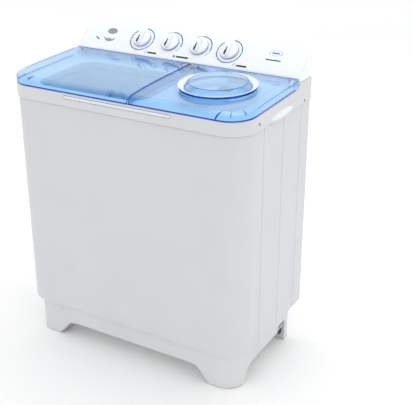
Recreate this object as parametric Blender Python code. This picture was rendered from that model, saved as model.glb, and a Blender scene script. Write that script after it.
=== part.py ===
"""Twin tub washer: a wash tub and a spin drier side by side in one cabinet.

Metres, +X to the machine's right, +Y to its back, +Z up. The origin is the centre of the
footprint, on the floor.
"""

from math import acos, cos, pi, radians, sin, tau

import bmesh
import bpy
from mathutils import Matrix

# Overall
GAP = 0.0003  # between pieces that touch
CASE_W = 0.780
CASE_D = 0.420
CASE_LOW = 0.1213
CASE_HIGH = 0.7967
CASE_RADIUS = 0.070
SHEET = 0.002
MOULDING = 0.003
HEIGHT = 0.9456

# Base
BASE_W = 0.746
BASE_D = 0.386
BASE_HIGH = 0.1350
BASE_WALL = 0.004
BASE_FLOOR = 0.060
PAD_PROUD = 0.0015

# Top frame and its sloping deck
FRAME_W = 0.786
FRAME_D = 0.426
FRAME_LOW = 0.797
DECK_FRONT = 0.8372
DECK_SLOPE = 0.034
LEDGE_Y = 0.131
LEDGE_HIGH = 0.8630
WASH_HOLE = (-0.322, -0.180, 0.058, 0.082)
WASH_HOLE_RADIUS = 0.055
SPIN_X, SPIN_Y = 0.222, -0.040
SPIN_HOLE_R = 0.104
LIP_DEPTH = 0.020

# Console
CONSOLE_W = 0.778
CONSOLE_LOW = LEDGE_HIGH + GAP
PANEL_Y, PANEL_Z = 0.1275, 0.8755
CONSOLE_BACK = 0.2095
PANEL_TILT = radians(40.2)
KNOB_S = 0.058
KNOB_FIRST_X = -0.1697
KNOB_SPACING = 0.1036
KNOB_R = 0.029

# Lids
LID_X = 0.3925
LID_SPLIT = 0.037
LID_GAP = 0.003
LID_CORNER = 0.0725
LID_THICK = 0.0025
LID_TOP = 0.0258
LID_AXIS_Y, LID_AXIS_Z = 0.1165, 0.8675
LID_EAR_R = 0.0039
PIN_R = 0.0025
BORE_R = 0.0027
INNER_LID_R = 0.112
INNER_AXIS_Y = 0.083
INNER_AXIS_RISE = 0.0075
RING_R = 0.1112
WINDOW_HOLE_R = 0.0947
WINDOW_R = 0.0845
WINDOW_RISE = 0.0200
WINDOW_WALL = 0.0024
COLLAR_R = 0.1057
COLLAR_STEP_R = 0.1165

# Tubs and drives
TUB_LOW = 0.400
TUB_HIGH = 0.828
SPIN_CASE_R = 0.129
BASKET_R = 0.103
BASKET_LOW = 0.430
BASKET_HIGH = 0.790
WASH_X, WASH_Y = -0.132, -0.049
MOTOR_X = -0.290
SHAFT_R = 0.006
BELT_Z = 0.208
BIG_PULLEY_R = 0.080
SMALL_PULLEY_R = 0.022
VALVE_Y = 0.160


# ---------------------------------------------------------------- helpers

def deck(y):
    """Height of the frame's sloping top surface."""
    return DECK_FRONT + DECK_SLOPE * (y + FRAME_D / 2)


def clear_scene():
    for obj in list(bpy.data.objects):
        bpy.data.objects.remove(obj, do_unlink=True)


def material(name, colour, roughness=0.4, metallic=0.0, alpha=1.0):
    found = bpy.data.materials.get(name)
    if found:
        return found
    made = bpy.data.materials.new(name)
    made.use_nodes = True
    shader = made.node_tree.nodes["Principled BSDF"]
    shader.inputs["Base Color"].default_value = (*colour, 1.0)
    shader.inputs["Roughness"].default_value = roughness
    shader.inputs["Metallic"].default_value = metallic
    shader.inputs["Alpha"].default_value = alpha
    return made


def white_plastic():
    return material("white_plastic", (0.85, 0.86, 0.88), 0.30)


def gloss_white():
    return material("gloss_white", (0.93, 0.94, 0.95), 0.12)


def painted_steel():
    return material("painted_steel", (0.80, 0.81, 0.83), 0.35)


def base_plastic():
    return material("base_plastic", (0.74, 0.75, 0.76), 0.45)


def blue_clear():
    return material("blue_clear", (0.15, 0.45, 0.95), 0.05, alpha=0.45)


def tub_plastic():
    return material("tub_plastic", (0.78, 0.82, 0.88), 0.40)


def grey_plastic():
    return material("grey_plastic", (0.35, 0.37, 0.40), 0.50)


def rubber():
    return material("rubber", (0.06, 0.06, 0.06), 0.80)


def steel():
    return material("steel", (0.60, 0.60, 0.62), 0.25, 1.0)


def motor_steel():
    return material("motor_steel", (0.25, 0.27, 0.30), 0.45, 0.9)


def new_object(name, build):
    """An object named NAME whose mesh BUILD fills, with its faces pointing out."""
    mesh = bpy.data.meshes.new(name)
    shape = bmesh.new()
    build(shape)
    bmesh.ops.remove_doubles(shape, verts=shape.verts, dist=1e-6)
    bmesh.ops.recalc_face_normals(shape, faces=shape.faces)
    shape.to_mesh(mesh)
    shape.free()
    obj = bpy.data.objects.new(name, mesh)
    bpy.context.scene.collection.objects.link(obj)
    return obj


def prism(name, outline, low, high, along="Z"):
    """OUTLINE pushed from LOW to HIGH along an axis; it is (x, y), (y, z) or (x, z)."""
    place = {
        "Z": lambda a, b, h: (a, b, h),
        "X": lambda a, b, h: (h, a, b),
        "Y": lambda a, b, h: (a, h, b),
    }[along]

    def build(shape):
        ends = [[shape.verts.new(place(a, b, h)) for a, b in outline] for h in (low, high)]
        shape.faces.new(ends[0])
        shape.faces.new(ends[1])
        for i in range(len(outline)):
            j = (i + 1) % len(outline)
            shape.faces.new((ends[0][i], ends[0][j], ends[1][j], ends[1][i]))

    return new_object(name, build)


def box(name, low, high):
    outline = [(low[0], low[1]), (high[0], low[1]), (high[0], high[1]), (low[0], high[1])]
    return prism(name, outline, low[2], high[2])


def lathe(name, profile, x=0.0, y=0.0, steps=32):
    """A closed PROFILE of (radius, height) turned about the vertical through (x, y)."""

    def build(shape):
        rings = []
        for radius, height in profile:
            if radius == 0:
                rings.append([shape.verts.new((x, y, height))] * steps)
                continue
            rings.append([shape.verts.new((a, b, height)) for a, b in circle(x, y, radius, steps)])
        for a, b in zip(rings, rings[1:] + rings[:1]):
            for k in range(steps):
                n = (k + 1) % steps
                corners = list(dict.fromkeys((a[k], a[n], b[n], b[k])))
                if len(corners) > 2:
                    shape.faces.new(corners)

    return new_object(name, build)


def circle(cx, cy, radius, steps=16, squash=1.0):
    turns = [tau * k / steps for k in range(steps)]
    return [(cx + radius * cos(t), cy + squash * radius * sin(t)) for t in turns]


def rod(name, radius, low, high, x=0.0, y=0.0, steps=16):
    return prism(name, circle(x, y, radius, steps), low, high)


def arc(cx, cy, radius, first, last, steps, squash=1.0):
    """Points of an arc; FIRST and LAST are in degrees."""
    turns = [radians(first + (last - first) * k / steps) for k in range(steps + 1)]
    return [(cx + radius * cos(t), cy + squash * radius * sin(t)) for t in turns]


def rounded(x0, y0, x1, y1, front, rear=None, steps=5):
    """A rectangle with its front (low y) and rear corners rounded."""
    rear = front if rear is None else rear
    points = arc(x0 + front, y0 + front, front, 180, 270, steps)
    points += arc(x1 - front, y0 + front, front, 270, 360, steps)
    points += arc(x1 - rear, y1 - rear, rear, 0, 90, steps)
    points += arc(x0 + rear, y1 - rear, rear, 90, 180, steps)
    return points


def combine(target, other, operation):
    """TARGET becomes the Boolean of itself and OTHER, which is used up."""
    change = target.modifiers.new("combine", "BOOLEAN")
    change.operation = operation
    change.object = other
    change.solver = "EXACT"
    bpy.context.view_layer.update()
    seen = target.evaluated_get(bpy.context.evaluated_depsgraph_get())
    mesh = bpy.data.meshes.new_from_object(seen)
    target.modifiers.clear()
    target.data = mesh
    bpy.data.objects.remove(other, do_unlink=True)


def cut(target, *cutters):
    for cutter in cutters:
        combine(target, cutter, "DIFFERENCE")


def add(target, *pieces):
    for piece in pieces:
        combine(target, piece, "UNION")


def common(target, other):
    combine(target, other, "INTERSECT")


def sweep(name, path, outer, inner=None, steps=12):
    """A tube along PATH, or a rod where INNER is None."""

    def frames():
        for i, here in enumerate(path):
            before = path[max(i - 1, 0)]
            after = path[min(i + 1, len(path) - 1)]
            run = [b - a for a, b in zip(before, after)]
            size = sum(c * c for c in run) ** 0.5
            run = [c / size for c in run]
            side = (run[1], -run[0], 0.0) if abs(run[2]) < 0.95 else (1.0, 0.0, 0.0)
            dot = sum(a * b for a, b in zip(side, run))
            side = [a - dot * b for a, b in zip(side, run)]
            size = sum(c * c for c in side) ** 0.5
            side = [c / size for c in side]
            up = (
                run[1] * side[2] - run[2] * side[1],
                run[2] * side[0] - run[0] * side[2],
                run[0] * side[1] - run[1] * side[0],
            )
            yield here, side, up

    def build(shape):
        def wall(radius):
            return [
                [
                    shape.verts.new(
                        [
                            h + radius * (cos(tau * k / steps) * s + sin(tau * k / steps) * u)
                            for h, s, u in zip(here, side, up)
                        ]
                    )
                    for k in range(steps)
                ]
                for here, side, up in frames()
            ]

        outside = wall(outer)
        loops = list(outside)
        if inner is None:
            shape.faces.new(outside[0])
            shape.faces.new(outside[-1])
        else:
            loops += wall(inner)[::-1]
            loops.append(outside[0])
        for a, b in zip(loops, loops[1:]):
            for k in range(steps):
                n = (k + 1) % steps
                shape.faces.new((a[k], a[n], b[n], b[k]))

    return new_object(name, build)


def smooth_path(points, per_span=5):
    """A Catmull-Rom curve through POINTS."""
    ends = [points[0]] + list(points) + [points[-1]]
    path = []
    for a, b, c, d in zip(ends, ends[1:], ends[2:], ends[3:]):
        for k in range(per_span):
            t = k / per_span
            here = []
            for p, q, r, s in zip(a, b, c, d):
                square, cube = 2 * p - 5 * q + 4 * r - s, 3 * q - p - 3 * r + s
                here.append(0.5 * (2 * q + (r - p) * t + square * t**2 + cube * t**3))
            path.append(here)
    path.append(list(points[-1]))
    return path


def slope_with_deck(obj):
    """Lifts each point of a piece made level at height 0 so that it follows the deck."""
    for vertex in obj.data.vertices:
        vertex.co.z += deck(vertex.co.y)


def turned(obj, matrix):
    obj.data.transform(matrix)
    return obj


def finish(obj, look, smooth=False, origin=None):
    """Gives a piece its material, its shading and, when it moves, an origin on its axis."""
    obj.data.materials.clear()
    obj.data.materials.append(look)
    if smooth:
        obj.data.shade_smooth()
        obj.data.set_sharp_from_angle(angle=radians(35))
    if origin:
        obj.data.transform(Matrix.Translation([-c for c in origin]))
        obj.location = origin
    return obj


def on_panel(x, s=KNOB_S, out=0.0):
    """The matrix of a frame on the console's face: local Z points out, local Y up the slope."""
    y = PANEL_Y + s * cos(PANEL_TILT) - out * sin(PANEL_TILT)
    z = PANEL_Z + s * sin(PANEL_TILT) + out * cos(PANEL_TILT)
    return Matrix.Translation((x, y, z)) @ Matrix.Rotation(PANEL_TILT, 4, "X")


# ---------------------------------------------------------------- base

ARCH_HIGH = 0.055
FLANK = ((0, -0.01), (0, 0), (0.030, 0.040), (0.040, 0.050))
FOOT_X = 0.279
FOOT_FRONT, FOOT_REAR = -0.143, 0.136
LEVEL_Y = 0.045
NOTCH_Y = (0.085, 0.136)
NOTCH_HIGH = 0.077
NOTCH_DEPTH = 0.050
ELBOW_X, ELBOW_Y = 0.345, 0.1105
HOSE_R = 0.0125


def arch(low, high, rise):
    """The opening between two feet: straight flanks rounded into a level top."""
    flank = FLANK + ((rise, ARCH_HIGH),)
    return [(low + a, z) for a, z in flank] + [(high - a, z) for a, z in reversed(flank)]


def corner_box(sx, sy, inset_x, inset_y):
    """The space outward of the arches at the corner (SX, SY), less the two insets."""
    near_x = sx * (FOOT_X - 0.012 + inset_x)
    near_y = FOOT_FRONT + 0.002 - inset_y if sy < 0 else FOOT_REAR + inset_y
    x0, x1 = sorted((near_x, sx * 0.5))
    y0, y1 = sorted((near_y, sy * 0.5))
    return box("corner", (x0, y0, -0.1), (x1, y1, 0.2))


def base_plinth():
    x, y, w = BASE_W / 2, BASE_D / 2, BASE_WALL
    base = prism("base_plinth", rounded(-x, -y, x, y, 0.060, 0.045), PAD_PROUD, BASE_HIGH)
    inside = rounded(-x + w, -y + w, x - w, y - w, 0.056, 0.041)
    cut(base, prism("tray", inside, BASE_FLOOR, BASE_HIGH + 0.01))
    cut(base, prism("underside", inside, -0.01, BASE_FLOOR - w))
    outside = rounded(-x + 0.001, -y + 0.001, x - 0.001, y - 0.001, 0.059, 0.044)
    for sx in (-1, 1):
        for sy in (-1, 1):
            foot = prism("foot", outside, PAD_PROUD, BASE_FLOOR - 0.001)
            common(foot, corner_box(sx, sy, 0, 0))
            core = prism("core", inside, -0.01, BASE_FLOOR - w)
            common(core, corner_box(sx, sy, MOULDING, MOULDING))
            cut(foot, core)
            add(base, foot)
    cut(base, prism("front_arch", arch(-FOOT_X, FOOT_X, 0.068), -0.3, 0.3, "Y"))
    cut(base, prism("side_arch", arch(FOOT_FRONT, FOOT_REAR, 0.080), -0.5, 0.5, "X"))
    cut(base, box("level", (x - 0.010, LEVEL_Y, -0.01), (x + 0.01, NOTCH_Y[0] + 0.001, ARCH_HIGH)))
    pocket = box(
        "pocket",
        (x - NOTCH_DEPTH - MOULDING, NOTCH_Y[0] - MOULDING, BASE_FLOOR - 0.002),
        (x - 0.001, NOTCH_Y[1] + MOULDING, NOTCH_HIGH + MOULDING),
    )
    add(base, pocket)
    cut(base, box("notch", (x - NOTCH_DEPTH, NOTCH_Y[0], -0.01), (x + 0.01, NOTCH_Y[1], NOTCH_HIGH)))
    cut(base, rod("elbow_hole", HOSE_R + 0.0005, 0.06, 0.1, ELBOW_X, ELBOW_Y))
    finish(base, base_plastic(), smooth=True)


def foot_pads():
    """A rubber pad plugged into the hollow of each foot."""
    x, y = BASE_W / 2 - BASE_WALL - GAP, BASE_D / 2 - BASE_WALL - GAP
    for sx, side in ((-1, "left"), (1, "right")):
        for sy, end in ((-1, "front"), (1, "rear")):
            pad = prism("foot_pad_" + end + "_" + side, rounded(-x, -y, x, y, 0.0557, 0.0407), 0, 0.012)
            common(pad, corner_box(sx, sy, 0.014, 0.005))
            finish(pad, rubber(), smooth=True)


# ---------------------------------------------------------------- cabinet

GROOVES = (-0.087, 0.033, 0.148)
GROOVE_DEPTH, GROOVE_HALF = 0.0025, 0.003
FLANGE = 0.016
GRIP_Y, GRIP_Z = 0.019, 0.8070
GRIP_A, GRIP_B = 0.067, 0.0106
DIP_A, DIP_B = 0.075, 0.0075
FRAME_SCREWS = ((-0.121, 0.8150, "front"), (0.164, 0.8040, "rear"))
PANEL_SCREW_X, PANEL_SCREW_Z = 0.380, 0.460


def case_side(inset):
    """The right side and front corner of the wrap's outline, from the back to the front."""
    x, radius = CASE_W / 2 - inset, CASE_RADIUS - inset
    points = []
    for groove in reversed(GROOVES):
        points += [(x, groove + GROOVE_HALF), (x - GROOVE_DEPTH, groove), (x, groove - GROOVE_HALF)]
    points += arc(x - radius, CASE_RADIUS - CASE_D / 2, radius, 0, -90, 8)
    return points


def cabinet_wrap():
    x, y = CASE_W / 2, CASE_D / 2
    right = [(x - FLANGE, y), (x, y)] + case_side(0)
    left = [(-a, b) for a, b in reversed(right)]
    inner = [(x - FLANGE, y - SHEET), (x - SHEET, y - SHEET)] + case_side(SHEET)
    inner += [(-a, b) for a, b in reversed(inner)]
    wrap = prism("cabinet_wrap", right + left + inner[::-1], CASE_LOW, CASE_HIGH)
    hem_in = BASE_W / 2 + 0.0006
    outline = rounded(-x + 0.001, -y + 0.001, x - 0.001, y + 0.1, CASE_RADIUS - 0.001, 0.01)
    hem = prism("hem", outline, CASE_LOW, CASE_LOW + SHEET)
    outline = rounded(-hem_in, -BASE_D / 2 - 0.0006, hem_in, y + 0.3, 0.0606, 0.01)
    cut(hem, prism("hem_inside", outline, 0, 1))
    cut(hem, box("hem_back", (-1, y - 0.010, 0), (1, 1, 1)))
    for groove in GROOVES:
        for side in (-1, 1):
            low = (side * x - 0.0035, groove - 0.004, 0)
            cut(hem, box("hem_groove", low, (side * x + 0.0035, groove + 0.004, 1)))
    add(wrap, hem)
    for side in (-1, 1):
        outline = circle(GRIP_Y, FRAME_LOW, DIP_A + GAP, 20, DIP_B / DIP_A)
        cut(wrap, prism("dip", outline, side * x - 0.01, side * x + 0.01, "X"))
        for screw_y, screw_z, _ in FRAME_SCREWS:
            x0, x1 = sorted((side * (x - SHEET), side * (x - 0.0005)))
            low, high = (x0, screw_y - 0.010, CASE_HIGH - 0.004), (x1, screw_y + 0.010, screw_z + 0.008)
            add(wrap, box("tab", low, high))
            hole = circle(screw_y, screw_z, 0.0021, 12)
            cut(wrap, prism("tab_hole", hole, side * x - 0.01, side * x + 0.01, "X"))
        hole = circle(side * PANEL_SCREW_X, PANEL_SCREW_Z, 0.0023, 12)
        cut(wrap, prism("flange_hole", hole, y - 0.01, y + 0.01, "Y"))
    finish(wrap, painted_steel(), smooth=True)


def back_panel():
    y = CASE_D / 2 - SHEET - GAP
    x = CASE_W / 2 - SHEET - 0.0015
    panel = box("back_panel", (-x, y - SHEET, CASE_LOW + SHEET + GAP), (x, y, CASE_HIGH - 0.002))
    for row in range(8):
        for centre in (-0.20, 0.20):
            z = 0.22 + 0.016 * row
            low, high = (centre - 0.045, y - 0.01, z), (centre + 0.045, y + 0.01, z + 0.005)
            cut(panel, box("louvre", low, high))
    for side in (-1, 1):
        hole = circle(side * PANEL_SCREW_X, PANEL_SCREW_Z, 0.0023, 12)
        cut(panel, prism("hole", hole, y - 0.01, y + 0.01, "Y"))
    cut(panel, prism("gland_hole", circle(GLAND_X, GLAND_Z, 0.0085, 16), y - 0.01, y + 0.01, "Y"))
    finish(panel, painted_steel())


def panel_screws():
    for side, name in ((-1, "left"), (1, "right")):
        profile = [(0, 0), (0.0018, 0), (0.0018, 0.012), (0.0042, 0.012), (0.0042, 0.0130)]
        profile += [(0.0026, 0.0143), (0, 0.0143)]
        screw = lathe("back_screw_" + name, profile, steps=12)
        place = Matrix.Translation((side * PANEL_SCREW_X, CASE_D / 2 + GAP - 0.012, PANEL_SCREW_Z))
        finish(turned(screw, place @ Matrix.Rotation(-pi / 2, 4, "X")), steel(), smooth=True)


def frame_screws():
    for side, name in ((-1, "left"), (1, "right")):
        for y, z, end in FRAME_SCREWS:
            profile = [
                (0, 0), (0.0018, 0), (0.0018, 0.012), (0.0036, 0.012), (0.0036, 0.0128),
                (0.0022, 0.0140), (0, 0.0140)
            ]
            screw = lathe("frame_screw_" + end + "_" + name, profile, steps=12)
            place = Matrix.Translation((side * (CASE_W / 2 - 0.0120), y, z))
            finish(turned(screw, place @ Matrix.Rotation(side * pi / 2, 4, "Y")), steel(), smooth=True)


# ---------------------------------------------------------------- top frame

SCOOP = (-0.185, 0.175, 0.8195, 0.8310)
SCOOP_DEPTH = 0.008
LID_EARS = (-0.3725, 0.0175, 0.0575, 0.3725)
INNER_EARS = (0.188, 0.256)
EAR_HALF = 0.0025
INLET_X, INLET_Z = -0.300, 0.892
INLET_SLOT = (-0.330, -0.270)


def frame_side(inset):
    """The frame's side view: sloping deck in front, level ledge for the console behind."""
    y, low = FRAME_D / 2 + 0.01, FRAME_LOW
    if inset:
        step = LEDGE_Y + inset
        return [
            (-y, low - 0.03), (-y, deck(-y) - inset), (step, deck(step) - inset), (step, 1), (y, 1),
            (y, low - 0.03)
        ]
    return [
        (-y, low), (-y, deck(-y)), (LEDGE_Y, deck(LEDGE_Y)), (LEDGE_Y, LEDGE_HIGH), (y, LEDGE_HIGH),
        (y, low)
    ]


def stadium(x0, x1, z0, z1, grow=0.0, steps=6):
    radius = (z1 - z0) / 2 + grow
    middle = (z0 + z1) / 2
    straight = (z1 - z0) / 2
    points = arc(x0 + straight, middle, radius, 90, 270, steps)
    return points + arc(x1 - straight, middle, radius, -90, 90, steps)


def ear(x, axis_y, axis_z, radius, foot_z):
    """A post on the deck with a hinge bore."""
    outline = [(axis_y - radius, foot_z), (axis_y + 0.55 * radius, foot_z)]
    outline += arc(axis_y, axis_z, radius - 0.0001, 0, 180, 5)
    return prism("ear", outline, x - EAR_HALF, x + EAR_HALF, "X")


def bore(x, axis_y, axis_z):
    return prism("bore", circle(axis_y, axis_z, BORE_R, 12), x - 0.01, x + 0.01, "X")


def horn(side):
    """The frame's side wall behind a lid's end, hollowed to the lid's swing."""
    reach = 0.0139
    outline = arc(LID_AXIS_Y, LID_AXIS_Z, reach, -72, -19, 8)
    outline += [
        (LEDGE_Y + 0.001, LEDGE_HIGH), (LEDGE_Y + 0.001, deck(LEDGE_Y) - 0.002),
        (outline[0][0], deck(LID_AXIS_Y) - 0.002)
    ]
    near, far = side * (FRAME_W / 2 - 0.012), side * FRAME_W / 2
    return prism("horn", outline, min(near, far), max(near, far), "X")


def top_frame():
    x, y, t = FRAME_W / 2, FRAME_D / 2, MOULDING
    outline = rounded(-x, -y, x, y, 0.073, 0.008, 8)
    frame = prism("top_frame", outline, FRAME_LOW - 0.1, 1)
    common(frame, prism("side_view", frame_side(0), -0.5, 0.5, "X"))
    hollow = prism("hollow", rounded(-x + t, -y + t, x - t, y - t, 0.070, 0.005, 8), FRAME_LOW - 0.1, 1)
    common(hollow, prism("side_view", frame_side(t), -0.5, 0.5, "X"))
    cut(frame, hollow)
    for side in (-1, 1):
        horn_shape = horn(side)
        common(horn_shape, prism("plan", outline, 0, 1))
        add(frame, horn_shape)
    # The lips around the two mouths
    x0, y0, x1, y1 = WASH_HOLE
    radius = WASH_HOLE_RADIUS
    lip = prism("lip", rounded(x0 - t, y0 - t, x1 + t, y1 + t, radius + t), -LIP_DEPTH, -0.001)
    slope_with_deck(lip)
    add(frame, lip)
    cut(frame, prism("mouth", rounded(x0, y0, x1, y1, radius), 0, 1))
    lip = prism("lip", circle(SPIN_X, SPIN_Y, SPIN_HOLE_R + t, 28), -LIP_DEPTH, -0.001)
    slope_with_deck(lip)
    add(frame, lip)
    cut(frame, prism("mouth", circle(SPIN_X, SPIN_Y, SPIN_HOLE_R, 28), 0, 1))
    # Finger scoop along the front
    s = SCOOP
    add(frame, prism("scoop_cup", stadium(*s, 0.0022), -y + 0.001, -y + SCOOP_DEPTH + 0.0022, "Y"))
    cut(frame, prism("scoop", stadium(*s), -y - 0.01, -y + SCOOP_DEPTH, "Y"))
    # Hand grips in the sides
    for side in (-1, 1):
        def between(a, b):
            return sorted((side * a, side * b))
        grow = 0.0024
        dip = circle(GRIP_Y, FRAME_LOW + 0.0004, DIP_A, 20, DIP_B / DIP_A)
        add(frame, prism("dip", dip, *between(x - t + 0.0002, x - 0.0002), "X"))
        cup = circle(GRIP_Y, GRIP_Z, GRIP_A + grow, 20, (GRIP_B + grow) / (GRIP_A + grow))
        add(frame, prism("grip_cup", cup, *between(x - 0.0145, x - 0.0004), "X"))
        grip = circle(GRIP_Y, GRIP_Z, GRIP_A, 20, GRIP_B / GRIP_A)
        cut(frame, prism("grip", grip, *between(x - 0.012, x + 0.01), "X"))
        for screw_y, screw_z, _ in FRAME_SCREWS:
            hole = circle(screw_y, screw_z, 0.0042, 10)
            cut(frame, prism("screw_hole", hole, *between(x - 0.01, x + 0.01), "X"))
    # Hinge posts, then their bores
    inner_z = deck(INNER_AXIS_Y) + INNER_AXIS_RISE
    for at in LID_EARS:
        add(frame, ear(at, LID_AXIS_Y, LID_AXIS_Z, LID_EAR_R, deck(LID_AXIS_Y) - 0.001))
        cut(frame, bore(at, LID_AXIS_Y, LID_AXIS_Z))
    for at in INNER_EARS:
        add(frame, ear(at, INNER_AXIS_Y, inner_z, LID_EAR_R, deck(INNER_AXIS_Y) - 0.001))
        cut(frame, bore(at, INNER_AXIS_Y, inner_z))
    x0, x1 = INLET_SLOT
    cut(frame, box("inlet_slot", (x0, LEDGE_Y - 0.01, 0.852), (x1, LEDGE_Y + 0.01, 0.858)))
    finish(frame, white_plastic(), smooth=True)


# ---------------------------------------------------------------- console

CORNER_A, CORNER_B = 0.040, 0.0258
BUSH_R = 0.0050


def console_side(inset, open_ends=False):
    """The console's side view. The part's front leans back under the panel's lower edge."""
    lift = inset / cos(PANEL_TILT)
    top = PANEL_Z + (CONSOLE_BACK - PANEL_Y) * sin(PANEL_TILT) / cos(PANEL_TILT) - lift
    low = CONSOLE_LOW - (0.02 if open_ends else 0)
    back = CONSOLE_BACK + (0.02 if open_ends else 0)
    slope_top = top + (back - CONSOLE_BACK) * sin(PANEL_TILT) / cos(PANEL_TILT)
    return [
        (LEDGE_Y + inset, low), (LEDGE_Y + inset, CONSOLE_LOW),
        (PANEL_Y + inset, PANEL_Z - 0.4 * inset), (back, slope_top), (back, low)
    ]


def console_front(inset, low):
    """The console's front view: square below, its upper corners rounded."""
    x, top = CONSOLE_W / 2 - inset, HEIGHT - inset
    a, b = CORNER_A - inset, CORNER_B - inset
    points = [(x, low)] + arc(x - a, top - b, a, 0, 90, 8, b / a)
    return points + [(-px, pz) for px, pz in reversed(points)]


def console_panel():
    panel = prism("console_panel", console_side(0), -CONSOLE_W / 2, CONSOLE_W / 2, "X")
    common(panel, prism("front_view", console_front(0, 0.5), 0, 0.5, "Y"))
    hollow = prism("hollow", console_side(MOULDING, True), -0.5, 0.5, "X")
    common(hollow, prism("front_view", console_front(MOULDING, 0.5), 0, 0.5, "Y"))
    cut(panel, hollow)
    for k in range(4):
        hole = rod("hole", BUSH_R, -0.02, 0.02)
        cut(panel, turned(hole, on_panel(KNOB_FIRST_X + k * KNOB_SPACING)))
    finish(panel, gloss_white(), smooth=True)


def console_rear_cover():
    x = CONSOLE_W / 2 - MOULDING - 0.0005
    cover = prism(
        "console_rear_cover", console_front(MOULDING + 0.0005, CONSOLE_LOW + 0.0005),
        CONSOLE_BACK - 0.0025, CONSOLE_BACK - 0.0003, "Y"
    )
    common(cover, prism("side_view", console_side(MOULDING + 0.0005, True), -x, x, "X"))
    cut(cover, prism("inlet_hole", circle(INLET_X, INLET_Z, 0.0135, 24), 0, 0.5, "Y"))
    finish(cover, white_plastic())


def knobs():
    """Dial knobs: a low round skirt, a grip bar across it and a stem into the switch."""
    names = ("wash_timer_knob", "wash_mode_knob", "drain_knob", "spin_timer_knob")
    for k, name in enumerate(names):
        profile = [(0, -0.010), (0.0030, -0.010), (0.0030, 0.0012), (KNOB_R, 0.0012), (KNOB_R, 0.0055)]
        profile += [(KNOB_R - 0.002, 0.0085), (KNOB_R - 0.006, 0.0100), (0, 0.0105)]
        knob = lathe(name, profile, steps=20)
        add(knob, prism("grip", stadium(-0.0262, 0.0262, -0.0065, 0.0065), 0.005, 0.020))
        knob.data.transform(Matrix.Rotation(pi / 2, 4, "Z"))
        finish(knob, gloss_white(), smooth=True)
        knob.matrix_world = on_panel(KNOB_FIRST_X + k * KNOB_SPACING)


def switch_body(name, k, half_x, half_y, depth, look):
    """A timer or switch screwed behind the panel, with a socket for its knob's stem."""
    body = box(name, (-half_x, -half_y, -depth - 0.0045), (half_x, half_y, -0.0045))
    add(body, rod("bush", BUSH_R - 0.0004, -0.006, -0.0012))
    cut(body, rod("socket", 0.0032, -0.013, 0.01))
    finish(turned(body, on_panel(KNOB_FIRST_X + k * KNOB_SPACING)), look)


def console_switches():
    switch_body("wash_timer", 0, 0.026, 0.020, 0.022, grey_plastic())
    switch_body("wash_mode_switch", 1, 0.018, 0.016, 0.016, grey_plastic())
    switch_body("drain_selector", 2, 0.018, 0.016, 0.016, grey_plastic())
    switch_body("spin_timer", 3, 0.026, 0.020, 0.022, grey_plastic())


def water_inlet():
    profile = [(0.008, -0.030), (0.0130, -0.030), (0.0130, 0.0), (0.0125, 0.002), (0.008, 0.002)]
    inlet = lathe("water_inlet_connector", profile, steps=24)
    place = Matrix.Translation((INLET_X, CONSOLE_BACK, INLET_Z)) @ Matrix.Rotation(-pi / 2, 4, "X")
    finish(turned(inlet, place), grey_plastic(), smooth=True)
    x0, x1 = INLET_SLOT
    y0, y1 = LEDGE_Y + MOULDING + GAP, 0.1790
    chute = box("inlet_chute", (x0 - 0.004, y0, 0.8475), (x1 + 0.004, y1, 0.8650))
    cut(chute, box("channel", (x0, y0 - 0.01, 0.8500), (x1, y1 - 0.003, 0.8620)))
    cut(chute, box("mouth", (x0 + 0.02, y0 + 0.02, 0.8500), (x1 - 0.02, y1 - 0.003, 0.9)))
    finish(chute, tub_plastic())


def lid_switch():
    switch = box("lid_switch", (0.300, 0.1360, 0.8390), (0.328, 0.1520, 0.8560))
    add(switch, box("button", (0.310, 0.1400, 0.8550), (0.318, 0.1460, 0.8600)))
    finish(switch, grey_plastic())


# ---------------------------------------------------------------- lids

LID_FRONT = -0.2125
LID_SEAT = 0.0006
LID_REAR_R = 0.0125


def lid_side(inset):
    """A lid's side view above the deck: rounded front shoulder, crowned top, round rear end."""
    front, thick = LID_FRONT + inset, inset
    shoulder = arc(
        -0.172, 0.0045, -0.172 - front, 180, 100, 7, (0.0173 - 0.3 * thick) / (-0.172 - front)
    )
    crown = [
        (-0.130, 0.0243), (-0.080, 0.0254), (-0.020, LID_TOP), (0.060, LID_TOP), (LID_AXIS_Y, LID_TOP)
    ]
    points = [(front, LID_SEAT)] + shoulder + [(y, h) for y, h in crown]
    if inset:
        points = [(y, h - (thick if h > 0.015 else 0)) for y, h in points]
        points[0] = (front, -0.01)
        return points + [(0.15, LID_TOP - thick), (0.15, -0.01)]
    axis_h = LID_AXIS_Z - deck(LID_AXIS_Y)
    points += arc(LID_AXIS_Y, axis_h, LID_REAR_R, 38, -70, 9)
    return points + [(0.104, LID_SEAT)]


def lid_shell(name, x0, x1, outer_side):
    """A lid open below and behind. OUTER_SIDE is -1 or 1, the cabinet side it reaches."""
    def plan(inset):
        radius = LID_CORNER - inset
        left, right, front, rear = x0 + inset, x1 - inset, LID_FRONT + inset, 0.16
        if outer_side < 0:
            corner = arc(left + radius, front + radius, radius, 180, 270, 8)
            return corner + [(right, front), (right, rear), (left, rear)]
        corner = arc(right - radius, front + radius, radius, 270, 360, 8)
        return [(left, rear), (left, front)] + corner + [(right, rear)]

    lid = prism(name, lid_side(0), x0, x1, "X")
    common(lid, prism("plan", plan(0), -0.1, 0.1))
    hollow = prism("hollow", lid_side(LID_THICK), x0 - 0.1, x1 + 0.1, "X")
    common(hollow, prism("plan", plan(LID_THICK), -0.1, 0.1))
    cut(lid, hollow)
    return lid


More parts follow.
